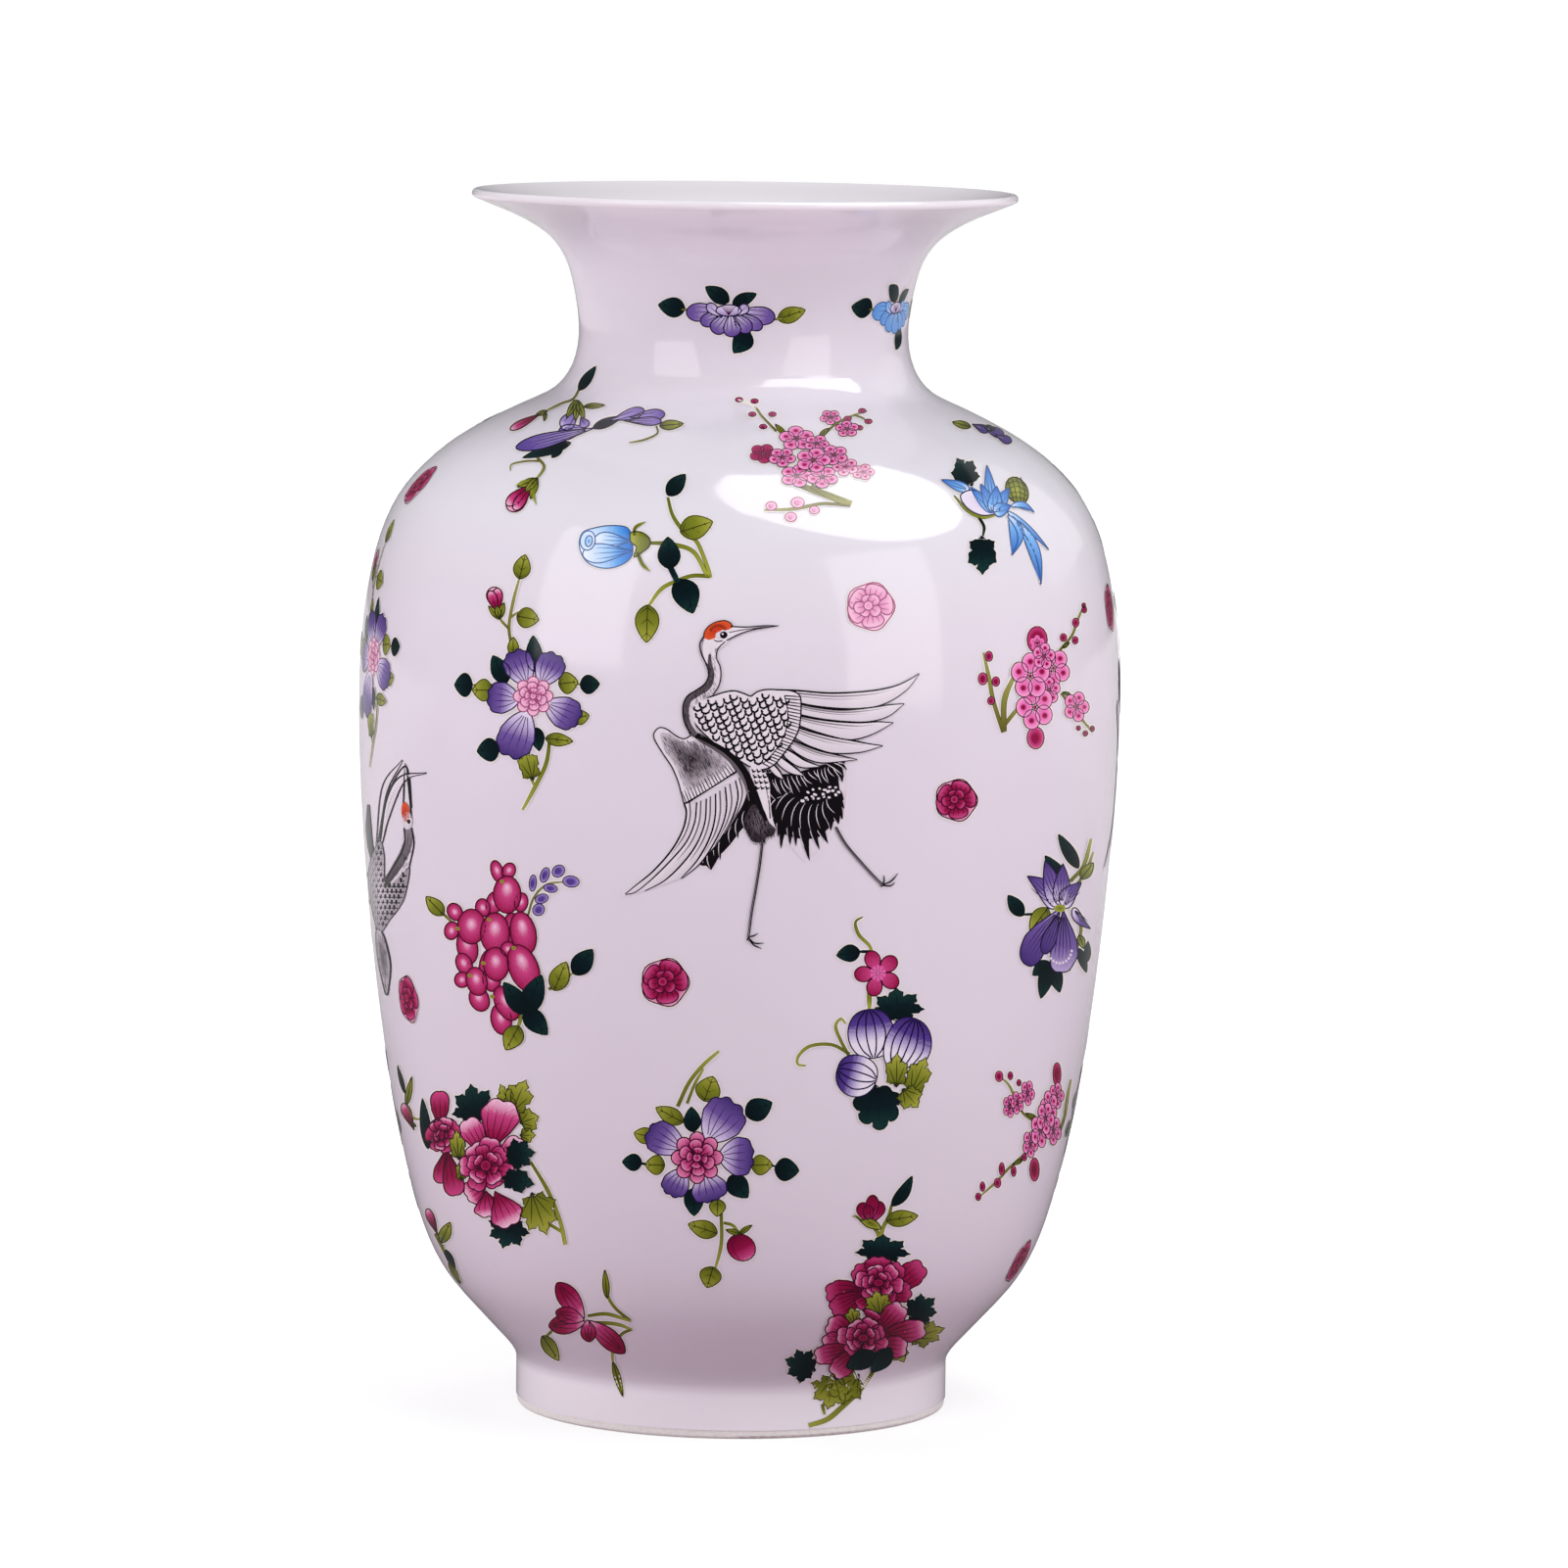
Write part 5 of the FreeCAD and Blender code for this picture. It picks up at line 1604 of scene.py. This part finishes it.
# The places on the outside that pixels of the photograph show: angles round, lengths along
def spots(pixels):
    focal = camera_data.lens / camera_data.sensor_width * PHOTO_PIXELS
    screen = np.stack([pixels[:, 0] - PHOTO_PIXELS / 2, PHOTO_PIXELS / 2 - pixels[:, 1],
                       np.full(len(pixels), -focal)], 1) / focal
    rays = screen @ np.array(camera.rotation_euler.to_matrix()).T
    eye = np.array(camera.location)

    def gap(reach):
        points = eye + rays[:, None] * reach[..., None]
        body = np.interp(points[..., 2], OUTLINE[:, 1], OUTLINE[:, 0])
        return np.hypot(points[..., 0], points[..., 1]) - body

    tries = np.tile(np.linspace(NEAREST_REACH, FARTHEST_REACH, REACH_TRIES), (len(pixels), 1))
    gaps = gap(tries)
    rows = np.arange(len(pixels))
    hit = np.argmax(gaps < 0, 1)
    near, far = tries[rows, hit - 1], tries[rows, hit]
    for _ in range(HALVINGS):
        middle = (near + far) / 2
        outside = gap(middle[:, None])[:, 0] > 0
        near, far = np.where(outside, middle, near), np.where(outside, far, middle)
    missed = gaps.min(1) >= 0
    reach = np.where(missed, tries[rows, np.argmin(gaps, 1)], far)
    points = eye + rays * reach[:, None]
    return np.arctan2(points[:, 0], -points[:, 1]), np.interp(points[:, 2], OUTLINE[:, 1], ALONG)


# Enamel: its gloss, the fineness of its brush streaks along and across a shape, and how far they shift it
ENAMEL_ROUGHNESS = 0.1
ENAMEL_IOR = 1.42
STREAKS = (14, 900, 1)
STREAK_SHIFT = 0.24

# How much of the map stays free at the ends of a run of shades, and at the sides of an enamel's band
RUN_MARGIN = 0.02
BAND_MARGIN = 0.05


# One enamel: its run of shades across the map, with the streaks that a brush leaves
def enamel_material(ink):
    material, nodes, links, shader = new_material("enamel_" + ink)
    chart = nodes.new("ShaderNodeUVMap")
    chart.uv_map = "OFBake"
    stretch = nodes.new("ShaderNodeMapping")
    stretch.inputs["Scale"].default_value = STREAKS
    links.new(chart.outputs["UV"], stretch.inputs["Vector"])
    streak = noise_node(nodes, links, stretch.outputs["Vector"], 1, 3)
    parts = nodes.new("ShaderNodeSeparateXYZ")
    links.new(chart.outputs["UV"], parts.inputs[0])
    sway = nodes.new("ShaderNodeMath")
    sway.operation = "MULTIPLY_ADD"
    sway.inputs[1].default_value = STREAK_SHIFT
    links.new(streak.outputs["Fac"], sway.inputs[0])
    links.new(parts.outputs["X"], sway.inputs[2])
    level = nodes.new("ShaderNodeMath")
    level.operation = "SUBTRACT"
    level.inputs[1].default_value = STREAK_SHIFT / 2
    links.new(sway.outputs[0], level.inputs[0])
    shades = ramp_node(nodes, [(place, colour(*shade)) for place, shade in INKS[ink]])
    links.new(level.outputs[0], shades.inputs["Fac"])
    links.new(shades.outputs["Color"], shader.inputs["Base Color"])
    shader.inputs["Roughness"].default_value = ENAMEL_ROUGHNESS
    shader.inputs["IOR"].default_value = ENAMEL_IOR
    return material


ENAMELS = {}


# The material of an enamel, made once
def enamel(ink):
    if ink not in ENAMELS:
        ENAMELS[ink] = enamel_material(ink)
    return ENAMELS[ink]


# The mesh of a motif at its places on the vase
def enamel_mesh(name, motif, angles, along):
    levels = np.concatenate(motif.levels)
    tones = np.vstack(motif.tones)
    faces = np.array(motif.faces)
    places, normals = on_vase(angles, along, ENAMEL_HEIGHT + LAYER_HEIGHT * levels)
    corner = places[faces]
    facing = np.cross(corner[:, 2] - corner[:, 0], corner[:, 3] - corner[:, 1])
    turned = (facing * normals[faces[:, 0]]).sum(1) < 0
    faces[turned] = faces[turned][:, ::-1]
    mesh = bpy.data.meshes.new(name)
    mesh.from_pydata(places.tolist(), [], faces.tolist())
    used = sorted(set(motif.inks))
    for ink in used:
        mesh.materials.append(enamel(ink))
    rows = np.array([used.index(ink) for ink in motif.inks])
    mesh.polygons.foreach_set("material_index", rows)
    mesh.polygons.foreach_set("use_smooth", [True] * len(faces))
    chart = mesh.uv_layers.new(name="OFBake")
    spread = tones[faces.ravel()]
    run = RUN_MARGIN + (1 - 2 * RUN_MARGIN) * spread[:, 0]
    band = (np.repeat(rows, 4) + BAND_MARGIN + (1 - 2 * BAND_MARGIN) * spread[:, 1]) / len(used)
    chart.data.foreach_set("uv", np.stack([run, band], 1).ravel())
    mesh.normals_split_custom_set_from_vertices(normals.tolist())
    return mesh


# A piece of the scene that goes with the vase
def put(name, mesh):
    piece = bpy.data.objects.new(name, mesh)
    bpy.context.scene.collection.objects.link(piece)
    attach(piece, "root")


# A motif with the places of its points on the vase
def drawn(draw, corner, scale):
    motif = Motif(corner, scale)
    draw(motif)
    return motif, *spots(np.vstack(motif.points))


DRAWN = {name: drawn(draw, *sketch) for name, draw, sketch in SPRAYS}
for name, (motif, angles, along) in DRAWN.items():
    put(name, enamel_mesh(name, motif, angles, along))
DRAWN["blue_neck_flower"] = drawn(blue_neck_flower, *SHOULDER_SKETCH)

# The same transfers further round the vase: which one, turned by degrees, and raised by millimetres.
# A raised one keeps its width where the vase is narrower or wider.
REPEATS = [
    ("violet_neck_flower", 139, 0), ("violet_neck_flower", -113, 0), ("bell_spray", 180, 0),
    ("shoulder_plum_spray", 180, 0), ("small_violet_bud", 180, 0), ("blue_bud_spray", 180, 0),
    ("blue_bud_spray", -95, 0), ("blue_lily_spray", 180, 0), ("blue_lily_spray", 52, 0),
    ("violet_peony_spray", 180, 0), ("violet_peony_spray", -41, 5), ("plum_cluster", 180, 0),
    ("blush_rosette", 180, 0), ("walking_crane", 94, 0), ("walking_crane", 188, 0), ("pink_cluster", 180, 0),
    ("melon_spray", 180, 0), ("melon_spray", 80, 0), ("iris_spray", 180, 0), ("small_rosette", 180, 0),
    ("magenta_rosette", 180, 0), ("magenta_rosette", -63.9, 134.4), ("magenta_rosette", -52.7, -13.1),
    ("magenta_rosette", 89.4, 98.5), ("magenta_rosette", 81, -91), ("magenta_rosette", -82, 0),
    ("twin_peony_spray", 185, 0), ("violet_rose_spray", 180, 0), ("violet_rose_spray", 95, 0),
    ("violet_rose_spray", -90, 0), ("low_plum_spray", 175, 0), ("tall_bouquet", 180, 0),
    ("magnolia_spray", 180, 0), ("side_twig", -40, 0), ("side_twig", 180, 0),
    ("blue_neck_flower", 69, 0), ("blue_neck_flower", 200, 0),
]

for number, (name, turn, climb) in enumerate(REPEATS):
    motif, angles, along = DRAWN[name]
    middle = (along.min() + along.max()) / 2
    radius, other = np.interp([middle, middle + climb * MM], ALONG, OUTLINE[:, 0])
    centre = (angles.min() + angles.max()) / 2
    turned = centre + (angles - centre) * radius / other + math.radians(turn)
    name = "%s_%d" % (name, number)
    put(name, enamel_mesh(name, motif, turned, along + climb * MM))


# Lamps: softboxes that only light the vase, and gleams that only show in its glaze
LAMP_AIM = Vector((0, 0, 0.2))
ROSY = (1.0, 0.985, 0.995)
GREENISH = (0.98, 1.02, 1.0)


# A lamp in a direction, in degrees round and up, with its distance, width, height and power in watts
def softbox(name, azimuth, elevation, distance, width, height, power, shape="RECTANGLE", lit=True,
            mirrored=True, tint=(1, 1, 1)):
    data = bpy.data.lights.new(name, "AREA")
    data.shape = shape
    data.size, data.size_y = width, height
    data.energy = power
    data.color = tint
    lamp = bpy.data.objects.new(name, data)
    turn, climb = math.radians(azimuth), math.radians(elevation)
    back = Vector((math.sin(turn) * math.cos(climb), -math.cos(turn) * math.cos(climb), math.sin(climb)))
    lamp.location = LAMP_AIM + back * distance
    lamp.rotation_euler = back.to_track_quat("Z", "Y").to_euler()
    lamp.visible_camera = False
    lamp.visible_diffuse, lamp.visible_glossy = lit, mirrored
    bpy.context.scene.collection.objects.link(lamp)


softbox("left_softbox", -50, 6, 1.6, 1.05, 0.95, 6.4, mirrored=False, tint=ROSY)
softbox("right_softbox", 52, 6, 1.6, 0.95, 1.0, 6.0, mirrored=False, tint=ROSY)
softbox("left_fill", -80, -4, 1.2, 0.6, 0.2, 2.2, mirrored=False)
softbox("right_fill", 80, -4, 1.2, 0.6, 0.2, 1.5, mirrored=False)
softbox("left_gleam", -48.5, 24, 1.6, 0.86, 1.2, 6.6, lit=False, tint=ROSY)
softbox("right_gleam", 46.5, 17, 1.6, 0.9, 1.12, 5.9, lit=False, tint=ROSY)
softbox("rim_gleam", 126, 27, 1.6, 0.9, 1.0, 1.5, lit=False)
softbox("top_softbox", 34, 52, 1.5, 0.9, 0.6, 7.4, "ELLIPSE", mirrored=False, tint=GREENISH)
softbox("top_highlight", 71, 66, 1.5, 1.46, 1.59, 33, "ELLIPSE", lit=False)
softbox("back_softbox", 180, 58, 1.5, 1.0, 0.6, 8.0, "ELLIPSE", mirrored=False)


# World: white where it is seen, a soft light from both sides, and dim where only reflections see it
WORLD_TINT = (0.99, 0.97, 1.02, 1)
LIGHT_FROM_THE_SIDES = [(0, 0.9), (0.5, 0.27), (1, 0.6)]
MIRRORED_FROM_FRONT_TO_BACK = [(0, 0.08), (0.5, 0.09), (0.97, 0.11), (1, 0.2)]


# A strength for each value of the source
def strength_ramp(tree, source, strengths):
    ramp = ramp_node(tree.nodes, [(place, (level, level, level, 1)) for place, level in strengths])
    tree.links.new(source, ramp.inputs["Fac"])
    return ramp.outputs["Color"]


# A plain light with strengths spread over one direction, from its negative end to its positive end
def spread_light(tree, tint, direction, strengths):
    shift = tree.nodes.new("ShaderNodeMapRange")
    shift.inputs["From Min"].default_value = -1
    shift.inputs["From Max"].default_value = 1
    tree.links.new(direction, shift.inputs["Value"])
    light = background(tree, tint)
    tree.links.new(strength_ramp(tree, shift.outputs["Result"], strengths), light.inputs["Strength"])
    return light


# A plain light of one tint
def background(tree, tint):
    shade = tree.nodes.new("ShaderNodeBackground")
    shade.inputs["Color"].default_value = tint
    shade.inputs["Strength"].default_value = 1
    return shade


# One look for a kind of ray, and another for the rest
def choose(tree, factor, otherwise, chosen):
    mix = tree.nodes.new("ShaderNodeMixShader")
    tree.links.new(factor, mix.inputs["Fac"])
    tree.links.new(otherwise.outputs[0], mix.inputs[1])
    tree.links.new(chosen.outputs[0], mix.inputs[2])
    return mix


# Whether either of two kinds of ray looks
def either_ray(tree, path, first, second):
    either = tree.nodes.new("ShaderNodeMath")
    either.operation = "MAXIMUM"
    tree.links.new(path.outputs[first], either.inputs[0])
    tree.links.new(path.outputs[second], either.inputs[1])
    return either.outputs[0]


# Each kind of ray gets its own light
def make_world():
    world = bpy.data.worlds.new("world")
    world.use_nodes = True
    sky = world.node_tree
    way = sky.nodes.new("ShaderNodeTexCoord")
    parts = sky.nodes.new("ShaderNodeSeparateXYZ")
    sky.links.new(way.outputs["Generated"], parts.inputs[0])
    path = sky.nodes.new("ShaderNodeLightPath")
    lighting = spread_light(sky, WORLD_TINT, parts.outputs["X"], LIGHT_FROM_THE_SIDES)
    mirrored = spread_light(sky, WHITE, parts.outputs["Y"], MIRRORED_FROM_FRONT_TO_BACK)
    unseen = choose(sky, path.outputs["Is Glossy Ray"], lighting, mirrored)
    seen = either_ray(sky, path, "Is Camera Ray", "Is Transmission Ray")
    shown = choose(sky, seen, unseen, background(sky, WHITE))
    sky.links.new(shown.outputs[0], sky.nodes["World Output"].inputs["Surface"])
    return world


bpy.context.scene.world = make_world()

# Floor: white with a soft shadow where it is seen; rosy grey for the light it returns, with painted shade
# near the foot; a glow of its own for reflections, dim near the foot and brighter behind
FLOOR_REACH = 4.0
RETURNED_NEAR_PAINTED_SHADE = (0.43, 0.3, 0.36, 1)
RETURNED_FAR = (0.74, 0.63, 0.68, 1)
SHADOWED_GREY = (0.35, 0.35, 0.35, 1)
GLOW_FROM_THE_FOOT_OUT = [(0.15, 0.74), (0.6, 1.0)]
MIRRORED_FROM_THE_FOOT_BACK = [(0.02, 0.1), (0.3, 0.14), (1, 0.6)]


# A light of the floor's own, with strengths over a distance
def glowing(tree, source, strengths):
    glow = tree.nodes.new("ShaderNodeEmission")
    tree.links.new(strength_ramp(tree, source, strengths), glow.inputs["Strength"])
    return glow


# Each kind of ray gets its own look
def floor_material():
    material = bpy.data.materials.new("floor")
    material.use_nodes = True
    tree = material.node_tree
    tree.nodes.clear()
    out = tree.nodes.new("ShaderNodeOutputMaterial")
    path = tree.nodes.new("ShaderNodeLightPath")
    place = tree.nodes.new("ShaderNodeTexCoord")
    far = tree.nodes.new("ShaderNodeVectorMath")
    far.operation = "LENGTH"
    tree.links.new(place.outputs["Object"], far.inputs[0])
    parts = tree.nodes.new("ShaderNodeSeparateXYZ")
    tree.links.new(place.outputs["Object"], parts.inputs[0])
    returning = tree.nodes.new("ShaderNodeBsdfDiffuse")
    # The light it returns is darker near the foot: painted shade for the lower body
    rosy = ramp_node(tree.nodes, [(0.1, RETURNED_NEAR_PAINTED_SHADE), (0.5, RETURNED_FAR)])
    tree.links.new(far.outputs["Value"], rosy.inputs["Fac"])
    tree.links.new(rosy.outputs["Color"], returning.inputs["Color"])
    matt = tree.nodes.new("ShaderNodeBsdfDiffuse")
    matt.inputs["Color"].default_value = SHADOWED_GREY
    glow = glowing(tree, far.outputs["Value"], GLOW_FROM_THE_FOOT_OUT)
    seen = tree.nodes.new("ShaderNodeAddShader")
    tree.links.new(matt.outputs[0], seen.inputs[0])
    tree.links.new(glow.outputs[0], seen.inputs[1])
    mirrored = glowing(tree, parts.outputs["Y"], MIRRORED_FROM_THE_FOOT_BACK)
    unseen = choose(tree, path.outputs["Is Glossy Ray"], returning, mirrored)
    shown = choose(tree, path.outputs["Is Camera Ray"], unseen, seen)
    tree.links.new(shown.outputs[0], out.inputs["Surface"])
    return material


floor_mesh = bpy.data.meshes.new("floor")
corners = [(-FLOOR_REACH, -FLOOR_REACH, 0), (FLOOR_REACH, -FLOOR_REACH, 0),
           (FLOOR_REACH, FLOOR_REACH, 0), (-FLOOR_REACH, FLOOR_REACH, 0)]
floor_mesh.from_pydata(corners, [], [(0, 1, 2, 3)])
floor_mesh.materials.append(floor_material())
floor = bpy.data.objects.new("floor", floor_mesh)
bpy.context.scene.collection.objects.link(floor)

view_settings = bpy.context.scene.view_settings
view_settings.view_transform = "Standard"
